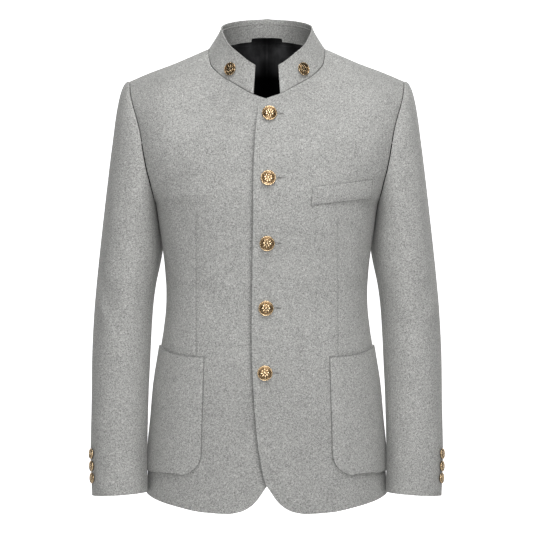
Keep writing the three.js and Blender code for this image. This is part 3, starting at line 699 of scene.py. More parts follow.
@dataclass(frozen=True)
class WoolFinish:
    """Milled melange wool: pale and dark fibres, a short nap, soft light at grazing angles, and painted shade
    from each piece's crease attribute.
    """

    name: str = "milled_grey_wool"
    pale: Colour = (0.64, 0.64, 0.62)
    middle: Colour = (0.39, 0.39, 0.378)
    dark: Colour = (0.2, 0.2, 0.194)
    sheen: tuple[float, ...] = (0.9, 0.9, 0.88, 1)
    fleck: float = 620.0
    fibre: float = 1500.0
    cloud: float = 38.0
    fleck_share: float = 0.7
    nap: float = 0.0006
    # How far the crease attribute's painted shade darkens the colour.
    shade_strength: float = 0.6

    def make(self) -> bpy.types.Material:
        """Builds the material's nodes."""
        graph = Graph(self.name)
        flecks = graph.noise(self.fleck, 3.0, 0.62, 0.9)
        fibres = graph.noise(self.fibre, 4.0, 0.7, 1.6)
        share = graph.maths("MULTIPLY", flecks, self.fleck_share)
        blend = graph.maths("MULTIPLY_ADD", fibres, 1 - self.fleck_share, share)
        melange = graph.ramp(blend, ((0.38, self.dark), (0.5, self.middle), (0.62, self.pale)))
        tone = graph.between(graph.noise(self.cloud, 2.0), (0.96, 1.04), (0.3, 0.7))
        # Painted shade: the colour darkens by the crease attribute along seams, edges and lines of shade.
        crease = graph.add("Attribute", attribute_name="crease").outputs["Fac"]
        pressed_and_shaded = graph.maths("MULTIPLY_ADD", crease, -self.shade_strength, tone)
        return graph.surface(
            {
                "Base Color": graph.scaled(melange, pressed_and_shaded),
                "Normal": graph.bump(blend, self.nap, 0.65),
                "Roughness": 0.93,
                "Specular IOR Level": 0.18,
                "Sheen Weight": 0.22,
                "Sheen Roughness": 0.5,
                "Sheen Tint": self.sheen,
            }
        )


@dataclass(frozen=True)
class LiningFinish:
    """Black satin lining with a fine diagonal rib and soft, uneven gloss, with light and shade painted into
    its colour: painted light high on the back and paler again lower down, a painted shadow just under the
    collar facing, painted shade down the throat, and painted light and shade on its soft pleats and folds.

    Args:
        name: The material's name.
        hollow: The colour between the ribs.
        ridge: The colour on the ribs.
        rib: Radians of the ribs' wave in a metre.
        painted_light_gain: How much paler the painted light makes it where it is fullest.
        shine: Its gloss where the painted light is fullest; the gloss follows the painted light, so the
            painted shade shows no reflection.
        span: The heights that the painted-light table runs between, in metres.
        painted_light: How much light is painted on along that span, low values being painted shade.
        reach: How far from the middle seam the pleat table runs, in metres.
        pleat: How much light is painted on the soft pleats along that reach, with painted shade beside them.
    """

    name: str = "black_satin"
    hollow: Colour = (0.012, 0.012, 0.0125)
    ridge: Colour = (0.022, 0.022, 0.023)
    rib: float = 1500.0
    painted_light_gain: float = 6.5
    shine: float = 0.14
    span: tuple[float, float] = (-0.3, 0.02)
    painted_light: tuple[tuple[float, float], ...] = (
        (0, 0.35), (0.44, 0.012), (0.83, 0.02), (0.9, 0.35), (0.95, 0.85), (0.97, 0.8), (1, 0.12)
    )
    reach: float = 0.05
    pleat: tuple[tuple[float, float], ...] = (
        (0, 0.42), (0.02, 0.42), (0.05, 0.25), (0.14, 0.4), (0.4, 0.75), (0.75, 0.3), (1, 0.35)
    )

    def make(self) -> bpy.types.Material:
        """Builds the material's nodes."""
        graph = Graph(self.name)
        turned = graph.add("Mapping", {"Vector": graph.place, "Rotation": (0, math.radians(38), 0)})
        waves = {"Vector": turned.outputs["Vector"], "Scale": self.rib / 6.2832, "Distortion": 0.4}
        ribs = graph.add("TexWave", waves, bands_direction="X").outputs["Fac"]
        # A noise stretched down the cloth paints soft streaks of light and shade, as on folds, into its
        # colour; it also varies the gloss.
        drawn = graph.add("Mapping", {"Vector": graph.place, "Scale": (1, 1, 0.3)})
        soft = {"Vector": drawn.outputs["Vector"], "Scale": 60.0, "Detail": 3.0}
        crease_shade = graph.add("TexNoise", soft).outputs["Fac"]
        tint = graph.add("Mix", {0: ribs, 6: (*self.hollow, 1), 7: (*self.ridge, 1)}, data_type="RGBA")
        split = graph.add("SeparateXYZ", {"Vector": graph.place})
        # Painted light and shade by height: paler high on the back and lower down, a painted shadow under the
        # collar facing, painted shade down the throat.
        painted_light = graph.ramp(graph.between(split.outputs["Z"], (0.0, 1.0), self.span), self.painted_light)
        across = graph.maths("ABSOLUTE", split.outputs["X"])
        # Painted light and shade of the soft pleats beside the middle seam.
        pleat = graph.ramp(graph.between(across, (0.0, 1.0), (0.0, self.reach)), self.pleat)
        amount = graph.maths("MULTIPLY", painted_light, pleat)
        amount = graph.maths("MULTIPLY", amount, graph.between(crease_shade, (0.55, 1.45), (0.35, 0.65)))
        amount = graph.maths("MULTIPLY", amount, self.painted_light_gain)
        return graph.surface(
            {
                "Base Color": graph.scaled(tint.outputs[2], amount),
                "Normal": graph.bump(ribs, 0.0002, 0.25),
                "Roughness": graph.between(crease_shade, (0.42, 0.62)),
                # The gloss follows the painted light, so no reflection shows in the painted shade.
                "Specular IOR Level": graph.maths("MULTIPLY", painted_light, self.shine),
            }
        )


@dataclass(frozen=True)
class BrassFinish:
    """Cast metal in an old gold tone. A bright copy goes on the raised parts and a dark copy in the recesses,
    which paints shade there together with duller, tarnished metal.
    """

    name: str
    bright: Colour
    deep: Colour
    roughness: tuple[float, float]
    grain: float = 900.0

    def make(self) -> bpy.types.Material:
        """Builds the material's nodes."""
        graph = Graph(self.name)
        grain = graph.noise(self.grain, 4.0)
        return graph.surface(
            {
                "Base Color": graph.ramp(grain, ((0.36, self.deep), (0.62, self.bright))),
                "Normal": graph.bump(grain, 0.0002, 0.2),
                "Roughness": graph.between(grain, self.roughness),
                "Metallic": 1.0,
            }
        )


@dataclass(frozen=True)
class ThreadFinish:
    """Grey buttonhole thread."""

    name: str = "grey_thread"
    dark: Colour = (0.13, 0.13, 0.125)
    pale: Colour = (0.33, 0.33, 0.32)
    twist: float = 420.0

    def make(self) -> bpy.types.Material:
        """Builds the material's nodes."""
        graph = Graph(self.name)
        waves = {"Vector": graph.place, "Scale": self.twist, "Distortion": 1.0}
        twist = graph.add("TexWave", waves).outputs["Fac"]
        return graph.surface(
            {
                "Base Color": graph.ramp(twist, ((0.0, self.dark), (1.0, self.pale))),
                "Normal": graph.bump(twist, 0.0003),
                "Roughness": 0.8,
            }
        )


class Finishes:
    """The materials of the coat, by the record's slots."""

    def __init__(self) -> None:
        """Makes each material once."""
        bright = BrassFinish("gold_brass_bright", (0.88, 0.69, 0.45), (0.58, 0.41, 0.23), (0.14, 0.30))
        # A dark copy of the brass for the buttons' recesses and body: painted shade there, together with
        # duller tarnish.
        deep = BrassFinish("gold_brass_deep", (0.24, 0.155, 0.08), (0.07, 0.042, 0.02), (0.24, 0.4))
        self.slots = {
            Slot.WOOL: WoolFinish().make(),
            Slot.LINING: LiningFinish().make(),
            Slot.BRASS: bright.make(),
        }
        self.recess = deep.make()
        self.thread = ThreadFinish().make()

    def of(self, slot: Slot) -> bpy.types.Material:
        """The material of a slot."""
        return self.slots[slot]


FRONT_FOLDS = (
    Fold((176, -150), (118, -330), 20, -1.5),
    Fold((158, -190), (128, -400), 13, 1.2),
    Fold((60, -300), (96, -200), 26, 0.9),
    Fold((150, -355), (60, -392), 11, -1.3),
    Fold((150, -392), (80, -370), 12, 1.0),
    Fold((40, -450), (62, -640), 24, -1.3),
    Fold((84, -470), (74, -650), 20, 1.0),
    Fold((170, -110), (120, -60), 16, -1.0),
)
BACK_FOLDS = (
    Fold((150, -130), (110, -330), 18, -2.4),
    Fold((120, -150), (92, -340), 15, 1.8),
    Fold((140, -350), (30, -385), 14, -2.6),
    Fold((145, -392), (50, -405), 12, 1.9),
    Fold((60, -60), (150, -90), 18, -1.4),
    Fold((70, -420), (96, -640), 26, 2.2),
    Fold((118, -430), (140, -650), 20, -2.0),
)
ARM_FOLDS = (
    Fold((78, -110), (70, -380), 13, -1.2),
    Fold((38, -130), (46, -400), 12, 1.0),
    Fold((-20, -250), (20, -360), 12, -1.3),
    Fold((60, -330), (-8, -430), 11, -1.6),
    Fold((50, -372), (0, -455), 9, 1.2),
    Fold((10, -440), (30, -640), 10, -0.9),
    Fold((110, -420), (92, -600), 12, -1.2),
    Fold((150, -300), (190, -400), 14, -2.0),
    Fold((165, -345), (215, -420), 10, 1.5),
    Fold((180, -420), (225, -500), 12, -1.6),
    Fold((238, -150), (232, -345), 21, 9.5),
)


@dataclass
class Fronts:
    """The two fronts, their patch pockets and the welt on the wearer's left breast."""

    folds: tuple[Fold, ...] = FRONT_FOLDS
    dart_top: float = -259.0
    dart_end: float = -458.0
    dart_depth: float = 0.6
    dart_column: int = 50
    slope: float = 1.3
    curl: float = 1.5
    patch_foot: float = -602.0
    patch_corner: float = 34.5
    patch_reach: float = 0.978
    patch_mouth: Table = Table(
        ("x", "z"), ((91.4, -461.5), (115, -460.4), (137, -457.2), (152, -452.5), (163, -446.5))
    )
    patch_outline: Table = Table(("z", "x"), ((-461.5, 91.4), (-510, 92.6), (-575, 94.6), (-602, 95.0)))
    facing_x: float = 66.0
    facing_flare: float = 0.04
    facing_waist: float = -300.0
    turn_up_z: float = -645.0

    def rise(self, points: Grid, sign: int) -> np.ndarray:
        """How far the front stands off the form: its lap, its folds and its dart."""
        x = points[..., 0] - DART_X
        line = np.exp(-((x / 0.9) ** 2)) + 0.35 * np.exp(-((x / 3.2) ** 2))
        sunk = self.dart_depth * line * self.dart_span(points[..., 2])
        return self.cover(points, sign) + self.lift(points, sign) - sunk

    def cover(self, points: Grid, sign: int) -> np.ndarray:
        """The front's rise at its lap and folds alone, for what lies over it."""
        across, z = np.abs(points[..., 0]), points[..., 2]
        return lap_rise(across, sign) + folded(self.folds, across, z) * eased(across, 20, 45)

    def dart_span(self, z: np.ndarray) -> np.ndarray:
        """How much of the dart there is at a height: 1 along it, 0 beyond its ends."""
        low = eased(z, self.dart_end - 6, self.dart_end + 2)
        return low * (1 - eased(z, self.dart_top - 6, self.dart_top + 8))

    def lift(self, points: Grid, sign: int) -> np.ndarray:
        """How far the free edge of the upper front curls off the lower one."""
        x, z = points[..., 0], points[..., 2]
        span = eased(-z, 88, 125) * (1 - eased(-z, 610, 655))
        near = np.exp(-(((x - FRONT_EDGE.at(z, "x")) / 8.0) ** 2))
        return (self.curl if sign > 0 else 0.0) * span * near

    def shade_marks(self, points: Grid, sign: int) -> np.ndarray:
        """Painted shade on a front: a dark line in its dart's groove, a painted shadow of the upper front's
        edge on the lower front, a painted shadow beside the sleeve's cuff at the side near the hem, and the
        whole front painted darker towards its hem.
        """
        x, z = points[..., 0], points[..., 2]
        # Painted shade in the dart's groove.
        dart = 0.34 * self.dart_span(z) * np.exp(-(((x - DART_X) / 0.8) ** 2))
        beside = x + FRONT_EDGE.at(z, "x")
        # Painted shadow that the upper front's edge casts on the lower front.
        lap = 0.5 * eased(-z, 95, 130) * np.exp(-((beside / 4.0) ** 2))
        side = EDGE.at(z, "x") - x
        # Painted shadow beside the sleeve's cuff, at the side of the front near the hem.
        under = 0.55 * np.exp(-((side / 9.0) ** 2)) * eased(-z, 560, 620)
        dark = np.maximum(dart, under)
        dark = dark if sign > 0 else np.maximum(dark, lap)
        # Painted shade that darkens the front a little towards its hem.
        return dark + 0.11 * eased(-z, 400, 560)

    def places(self, start: np.ndarray, dart: np.ndarray, dart_t: float) -> np.ndarray:
        """Places along each row: even up to the dart, close across it, then even to the edge."""
        close = dart_t * np.array([-2.6, -1.4, -0.6, 0, 0.6, 1.4, 2.6])
        first = np.linspace(0, 1, 44, endpoint=False)[None, :]
        last = np.linspace(0, 1, 31)[None, 1:]
        lead = start[:, None] + (dart[:, None] + close[0] - start[:, None]) * first
        across = dart[:, None] + close[None, :]
        tail = dart[:, None] + close[-1] + (1 - dart[:, None] - close[-1]) * last
        return np.concatenate([lead, across, tail], axis=1)

    def form_grid(self) -> Grid:
        """Points of the form under one front, from the shoulder seam down to the hem."""
        row = spread(tuple(range(21)), (5, 8, 11, 14, 12, 10, 8, 11, 11, 9, 10, 9, 9, 9, 9, 9, 9, 9, 9, 9))
        edge, start_h = ROWS.at(row, "edge"), ROWS.at(row, "start")
        start_x = np.where(row < 7, NECKLINE.at(row, "x"), FRONT_EDGE.at(start_h, "x"))
        start = FORM.find(Panel.FRONT, start_x, start_h)
        step = float((1 / EDGE.at(edge, "x")).mean())
        t = self.places(start, self.dart_place(start, edge, start_h), step)
        u = (t - start[:, None]) / (1 - start[:, None])
        h = edge[:, None] + (start_h - edge)[:, None] * (1 - np.clip(u, 0, 1)) ** self.slope
        upper = FORM.point(Panel.FRONT, t, h)
        shares = np.linspace(0, 1, 34)[1:]
        z = SKIRT_Z + shares * (FRONT_EDGE.rows[-1][0] - SKIRT_Z)
        start_x = FRONT_EDGE.at(z, "x")
        h = np.repeat(np.full_like(shares, SKIRT_Z)[:, None], t.shape[1], axis=1)
        for _ in range(5):
            start = FORM.find(Panel.FRONT, start_x, h[:, 0])
            dart = FORM.find(Panel.FRONT, np.full_like(start_x, DART_X), h[:, self.dart_column])
            t = self.places(start, dart, step)
            points = FORM.point(Panel.FRONT, t, h)
            hem = FRONT_HEM.at(np.maximum(points[..., 0], FRONT_HEM.rows[0][0]), "z")
            h = SKIRT_Z + shares[:, None] * (hem - SKIRT_Z)
        lower = FORM.point(Panel.FRONT, t, h)
        return np.concatenate([upper, lower])

    def dart_place(self, start: np.ndarray, edge: np.ndarray, start_h: np.ndarray) -> np.ndarray:
        """Where the dart's line crosses each row."""
        low, high = np.maximum(start, 0), np.ones_like(start)
        for _ in range(30):
            t = (low + high) / 2
            u = np.clip((t - start) / (1 - start), 0, 1)
            h = edge + (start_h - edge) * (1 - u) ** self.slope
            short = FORM.point(Panel.FRONT, t, h)[..., 0] < DART_X
            low, high = np.where(short, t, low), np.where(short, high, t)
        return (low + high) / 2

    def front(self, side: Side, finishes: Finishes) -> bpy.types.Object:
        """One front: the wearer's left laps over the right."""
        base = self.form_grid()
        normal = directions(base)
        grid = base + normal * self.rise(base, side.value)[..., None]
        grid = inset(grid, top=SEWN, end=SEWN)
        piece = Cloth(
            f"cloth_front_{side.word}", grid, WOOL, (f"front_{side.word}",), Slot.WOOL,
            (0.245, 0.735), seams=(True, False, False, True), turned=side is Side.RIGHT,
            inner=Slot.LINING, rests_on=(f"back_{side.word}", "collar"), start_seam_above=-75.0,
            # Painted shade along its front edge and neckline, and along its other lines of painted shade.
            pressed_and_shaded=(False, False, True, False),
            shade_marks=lambda points: self.shade_marks(points, side.value),
        ).build(finishes)
        refinish(piece, lambda at: self.faced(at[:, 0] * side.value, at[:, 2]))
        return piece

    def faced(self, x: np.ndarray, z: np.ndarray) -> np.ndarray:
        """Where the inner face of a front is wool: its facing along the edge, and its hem."""
        reach = self.facing_x + self.facing_flare * np.abs(z - self.facing_waist)
        return (x < reach) | (z < self.turn_up_z)

    def patch_grid(self) -> Grid:
        """Points of one patch pocket on the form, from its mouth down to its rounded foot."""
        foot, corner = self.patch_foot, self.patch_corner
        upper = np.linspace(self.patch_mouth.rows[0][1], foot, 42)
        angle = np.radians(np.linspace(0, 88, 26))[1:]
        z_side = np.concatenate([upper, foot - corner * np.sin(angle)])
        foot_x = self.patch_outline.at(foot, "x") + corner
        start = np.concatenate([self.patch_outline.at(upper, "x"), foot_x - corner * np.cos(angle)])
        cols = spread((0, 0.06, 0.94, 1), (5, 34, 5))
        mouth = self.patch_mouth
        share = np.linspace(0, 1, len(z_side))
        rows = []
        for z0, x0, s in zip(z_side, start, share):
            t0 = FORM.find(Panel.FRONT, np.array(x0), np.array(z0))
            t = t0 + (self.patch_reach - t0) * cols
            z = np.full_like(t, z0)
            for _ in range(3):
                points = FORM.point(Panel.FRONT, t, z)
                top = mouth.at(points[..., 0], "z") - mouth.at(x0, "z")
                z = z0 + top * (1 - eased(np.array(s), 0, 0.55))
            rows.append(FORM.point(Panel.FRONT, t, z))
        return np.array(rows)

    def patch(self, side: Side, finishes: Finishes) -> bpy.types.Object:
        """One patch pocket, sewn on by its sides and foot."""
        base = self.patch_grid()
        normal = directions(base)
        rise = self.cover(base, side.value)
        away = border_distance(base, True, True, True, True)
        puff = 0.55 * eased(away, 0, 5) - 0.25 * eased(away, 9, 40)
        mouth = 0.9 * np.exp(-((np.linspace(0, 1, base.shape[0])[:, None] / 0.05) ** 2))
        slack = mouth * np.sin(np.pi * np.linspace(0, 1, base.shape[1]))[None, :]
        grid = base + normal * (rise + GAP + PATCH_CLOTH + puff + slack)[..., None]
        return Cloth(
            f"cloth_pocket_{side.word}", grid, PATCH_CLOTH, (f"pocket_patch_{side.word}",),
            Slot.WOOL, (0.125, 0.19), turned=side is Side.RIGHT, rests_on=(f"front_{side.word}",),
            # Its borders carry painted shade: a dark outline round the pocket's edge.
            held="laid", round_edge=0.5, pressed_and_shaded=(True, True, True, True),
        ).build(finishes)

    def welt(self, finishes: Finishes) -> bpy.types.Object:
        """The breast welt, a narrow folded band with a stitched foot and ends."""
        corners = np.array([[66.4, -212.8], [157.2, -199.8], [63.7, -239.8], [154.4, -228.1]])
        v = spread((0, 0.12, 0.88, 1), (3, 10, 3))[:, None, None]
        u = spread((0, 0.04, 0.96, 1), (3, 44, 3))[None, :, None]
        flat = (corners[0] * (1 - u) + corners[1] * u) * (1 - v) + (corners[2] * (1 - u) + corners[3] * u) * v
        x, z = flat[..., 0], flat[..., 1]
        base = FORM.at(Panel.FRONT, x, z)
        normal = FORM.facing(Panel.FRONT, x, z)
        away = border_distance(base, True, True, True, True)
        puff = 0.35 * eased(away, 0, 4)
        grid = base + normal * (self.cover(base, 1) + GAP + WELT_CLOTH + puff)[..., None]
        return Cloth(
            "cloth_pocket_welt", grid, WELT_CLOTH, ("pocket_welt",), Slot.WOOL, (0.125, 0.029),
            # Its borders carry painted shade: a dark outline round the welt.
            rests_on=("front_left",), held="laid", round_edge=0.5, pressed_and_shaded=(True, True, True, True),
        ).build(finishes)


def refinish(
    piece: bpy.types.Object, chosen: Callable[[Grid], np.ndarray], old: int | None = 1, new: int = 0
) -> None:
    """Gives part of a piece another of its finishes, such as a wool hem on the lined inner face.

    Args:
        piece: The piece.
        chosen: Tells the part's faces by their centres, in millimetres.
        old: The place of the finish that they have, or None for any.
        new: The place of the finish that they get.
    """
    mesh = piece.data
    index = np.empty(len(mesh.polygons), dtype=np.int32)
    centre = np.empty(len(mesh.polygons) * 3, dtype=np.float32)
    mesh.polygons.foreach_get("material_index", index)
    mesh.polygons.foreach_get("center", centre)
    part = chosen(centre.reshape(-1, 3) / MM)
    if old is not None:
        part &= index == old
    mesh.polygons.foreach_set("material_index", np.where(part, new, index).astype(np.int32))


def covered(at: Grid, edge: Grid, reach: float) -> np.ndarray:
    """Which places on the collar facing the lining is sewn up over, at the back of the neck.

    Args:
        at: The places.
        edge: Points along the facing's lower edge.
        reach: How high the lining reaches at the middle of the back, in millimetres.

    Returns:
        True where the lining covers the facing.
    """
    edge = edge[edge[:, 1] > -10]
    order = np.argsort(edge[:, 0])
    level = np.interp(at[:, 0], edge[order, 0], edge[order, 2])
    return (at[:, 1] > 0) & (at[:, 2] < level + reach * eased(at[:, 1], -10, 20))


@dataclass
class Backs:
    """The two backs, joined down the middle, and the lining inside them."""

    folds: tuple[Fold, ...] = BACK_FOLDS
    hem_z: float = -671.0
    hem_drop: float = 5.0
    lining_rise: float = 22.0
    overlap: float = 4.0

    def grid(self, columns: int, rows: int, low_rise: float = 0.0) -> Grid:
        """Points of the form under one back.

        Args:
            columns: Steps across.
            rows: Steps between two tabled rows.
            low_rise: How far above the hem the grid ends.

        Returns:
            The grid, from the neck and shoulder down.
        """
        neck = NECK_HALF / SHOULDER_HALF
        u = spread((0, neck, 1), (int(columns * 0.42), columns - int(columns * 0.42)))[None, :]
        row = spread(tuple(range(21)), (rows,) * 20)
        edge = ROWS.at(row, "edge")[:, None]
        drop = SHOULDER_H - BACK_NECK.at(u * SHOULDER_HALF, "h")
        h = edge - NECK_SHARE.at(row, "share")[:, None] * drop
        x = u * EDGE.at(h, "x")
        upper = FORM.point(Panel.BACK, FORM.find(Panel.BACK, x, h), h)
        share = np.linspace(0, 1, rows * 3 + 1)[1:, None]
        hem = self.hem_z + low_rise - self.hem_drop * (1 - u * u)
        h = SKIRT_Z + share * (hem - SKIRT_Z)
        x = u * EDGE.at(h, "x")
        lower = FORM.point(Panel.BACK, FORM.find(Panel.BACK, x, h), h)
        return np.concatenate([upper, lower])

    def rise(self, points: Grid) -> np.ndarray:
        """How far the back stands off the form at its folds."""
        x = points[..., 0]
        return folded(self.folds, x, points[..., 2]) * eased(x, 2, 30)

    def back(self, side: Side, finishes: Finishes) -> bpy.types.Object:
        """One back."""
        base = self.grid(68, 9)
        normal = -directions(base)
        normal[:, 0, 0] = 0
        grid = inset(base + unit(normal) * self.rise(base)[..., None], top=SEWN, start=SEWN, end=SEWN)
        piece = Cloth(
            f"cloth_back_{side.word}", grid, WOOL, (f"back_{side.word}",), Slot.WOOL,
            (0.245, 0.715), seams=(True, False, True, True), turned=side is Side.RIGHT,
            inner=Slot.LINING, rests_on=("collar",), reverse=True,
        ).build(finishes)
        level = self.hem_z + self.lining_rise + self.overlap
        refinish(piece, lambda at: at[:, 2] < level)
        return piece

    def lining(self, side: Side, finishes: Finishes) -> bpy.types.Object:
        """The lining of one back, with an ease pleat that opens softly towards the middle seam."""
        base = self.grid(44, 5, self.lining_rise)
        normal = -directions(base)
        normal[:, 0, 0] = 0
        x = base[..., 0]
        pleat = 1.6 * np.exp(-((x / 9) ** 2)) * (1 - np.exp(-((x / 2.2) ** 2)))
        ease = pleat + 1.3 * np.exp(-(((x - 32) / 9) ** 2))
        fall = WOOL + LINING_GAP + 0.25 - np.minimum(self.rise(base), 0) + ease
        grid = inset(base - unit(normal) * fall[..., None], top=0.5, start=0.01, end=2.4)
        return Cloth(
            f"lining_back_panel_{side.word}", grid, LINING_CLOTH * 0.6,
            (f"lining_back_{side.word}",), Slot.LINING, (0.24, 0.69),
            seams=(False, False, True, False), turned=side is Side.RIGHT,
            rests_on=(f"back_{side.word}",), reverse=True, round_edge=0.2,
        ).build(finishes)


@dataclass
class Sleeves:
    """A two-piece sleeve for each arm: a head that rolls off the armhole, then a curved, tapering arm."""

    folds: tuple[Fold, ...] = ARM_FOLDS

    @staticmethod
    def arm(angle: np.ndarray, z: np.ndarray) -> Grid:
        """Points of the arm at an angle round it and a height."""
        a = np.radians(angle)
        return np.stack(
            [
                ARM.at(z, "x") + ARM.at(z, "half_x") * np.sin(a),
                ARM.at(z, "y") - ARM.at(z, "half_y") * np.cos(a),
                z + 0 * a,
            ],
            axis=-1,
        )

    @staticmethod
    def station(s: np.ndarray) -> tuple[np.ndarray, Grid]:
        """Angle and point of the armhole at a place round it: -10 and 10 are underarm, 0 the shoulder."""
        row = np.abs(s)
        h = ROWS.at(row, "edge")
        x = EDGE.at(h, "x")
        y = np.where(s < 0, EDGE.at(h, "front_y"), EDGE.at(h, "back_y"))
        angle = HEAD_ANGLES.at(row, "angle")
        z = h - FORM.fall(Panel.FRONT, x, h)
        return np.where(s < 0, angle, 180 - angle), np.stack([x, y, z], axis=-1)

    def piece_grid(self, s: np.ndarray, extra: np.ndarray, top: bool) -> Grid:
        """Points of the top or under sleeve.

        Args:
            s: Places round the armhole, from one long seam to the other.
            extra: Full turns to add to each place's angle.
            top: Whether it is the top sleeve.

        Returns:
            The grid, from the armhole down to the cuff.
        """
        angle, start = self.station(s)
        angle = angle + extra

        def seam(z: np.ndarray, first: bool) -> np.ndarray:
            """Angle of the piece's first or last long seam at a height."""
            if top:
                return LONG_SEAMS.at(z, "front" if first else "back")
            return LONG_SEAMS.at(z, "back") if first else LONG_SEAMS.at(z, "front") + 360

        share = (angle - angle[0]) / (angle[-1] - angle[0])
        place = np.linspace(0, 1, len(s))
        end_z = np.array(HEAD_END_Z)
        end_angle = seam(end_z, True) + (seam(end_z, False) - seam(end_z, True)) * share
        end = self.arm(end_angle, np.full_like(end_angle, HEAD_END_Z))
        a, e = np.radians(angle), np.radians(end_angle)
        out = np.stack([9 + 10 * np.sin(a), -8 * np.cos(a), -8 + 9 * np.sin(a) - 2 * np.cos(a) ** 2], axis=-1)
        reach = (0.44 + 0.28 * np.maximum(np.sin(a), 0)) * (start[:, 2] - HEAD_END_Z)
        lean = -0.06 + 0.088 * (1 + np.sin(e))
        pull = np.stack([-lean * reach, 0.03 * reach, reach], axis=-1)
        t = spread((0, 0.05, 0.3, 1), (8, 22, 44))[:, None, None]
        head = bezier(start[None], (start + out)[None], (end + pull)[None], end[None], t)
        v = np.linspace(0, 1, 108)[1:, None]
        guess = HEAD_END_Z + (CUFF_Z - HEAD_END_Z) * v
        even = share[None] + (place[None] - share[None]) * v
        turn = seam(guess, True) + (seam(guess, False) - seam(guess, True)) * even
        cuff = CUFF_Z - 2.5 * np.sin(np.radians(turn)) + 2 * np.cos(np.radians(turn))
        arm = self.arm(turn, HEAD_END_Z + (cuff - HEAD_END_Z) * v)
        grid = np.concatenate([head, arm])
        return self.settle(grid, head.shape[0])

    @staticmethod
    def settle(grid: Grid, join: int) -> Grid:
        """Evens the grid out where the head runs into the arm."""
        smooth = grid.copy()
        for _ in range(60):
            mean = (smooth[:-2] + smooth[2:]) / 2
            near = np.exp(-(((np.arange(1, len(grid) - 1) - join) / 9.0) ** 2))[:, None, None]
            smooth[1:-1] += (mean - smooth[1:-1]) * 0.8 * near
        return smooth

    def rise(self, grid: Grid) -> np.ndarray:
        """How far the cloth stands off at its folds."""
        z = grid[..., 2]
        a = np.arctan2(grid[..., 0] - ARM.at(z, "x"), -(grid[..., 1] - ARM.at(z, "y")))
        angle = np.degrees(a)
        angle = np.where(angle < -95, angle + 360, angle)
        return folded(self.folds, angle, z) * eased(-z, 70, 140) * (1 - 0.9 * eased(-z, 600, 655))

    @staticmethod
    def shade_marks(points: Grid) -> np.ndarray:
        """Painted shade on the sleeve's inner side, where it lies against the body under the arm and beside
        the skirt near the cuff, and the sleeve painted a little darker from the armpit down.
        """
        x, y, z = points[..., 0], points[..., 1], points[..., 2]
        inside = x - (ARM.at(z, "x") - ARM.at(z, "half_x"))
        near = np.exp(-((inside / 9.0) ** 2)) * (1 - eased(y, -10, 25))
        # Painted shade under the arm, and beside the skirt near the cuff.
        upper = 0.75 * eased(-z, 150, 235) * (1 - eased(-z, 275, 345))
        lower = 0.4 * eased(-z, 520, 600)
        # The sleeve is also painted a little darker from the armpit down.
        return near * np.maximum(upper, lower) + 0.05 * eased(-z, 150, 300)

    def build(self, side: Side, finishes: Finishes) -> list[bpy.types.Object]:
        """Both pieces of one sleeve."""
        top = np.linspace(-9, 5, 88)
        under = np.concatenate([np.linspace(5, 10, 42), np.linspace(-10, -9, 14)[1:]])
        made = []
        for name, s, extra in (
            ("top", top, np.zeros_like(top)),
            ("under", under, np.where(under < 0, 360.0, 0.0)),
        ):
            base = self.piece_grid(s, extra, name == "top")
            normal = directions(base)
            hang = eased(np.arange(len(base), dtype=float), 0, 15)[:, None]
            grid = inset(base + normal * (self.rise(base) * hang)[..., None], top=0.15, start=SEWN, end=SEWN)
            piece = Cloth(
                f"cloth_sleeve_{side.word}_{name}", grid, WOOL, (f"sleeve_{side.word}_{name}",),
                Slot.WOOL, (0.235, 0.66) if name == "top" else (0.17, 0.58),
                seams=(True, False, True, True), turned=side is Side.RIGHT, inner=Slot.LINING,
                rests_on=(f"front_{side.word}", f"back_{side.word}"), shade_marks=self.shade_marks,
            ).build(finishes)
            refinish(piece, lambda at: at[:, 2] < CUFF_Z + TURN_UP)
            made.append(piece)
        return made


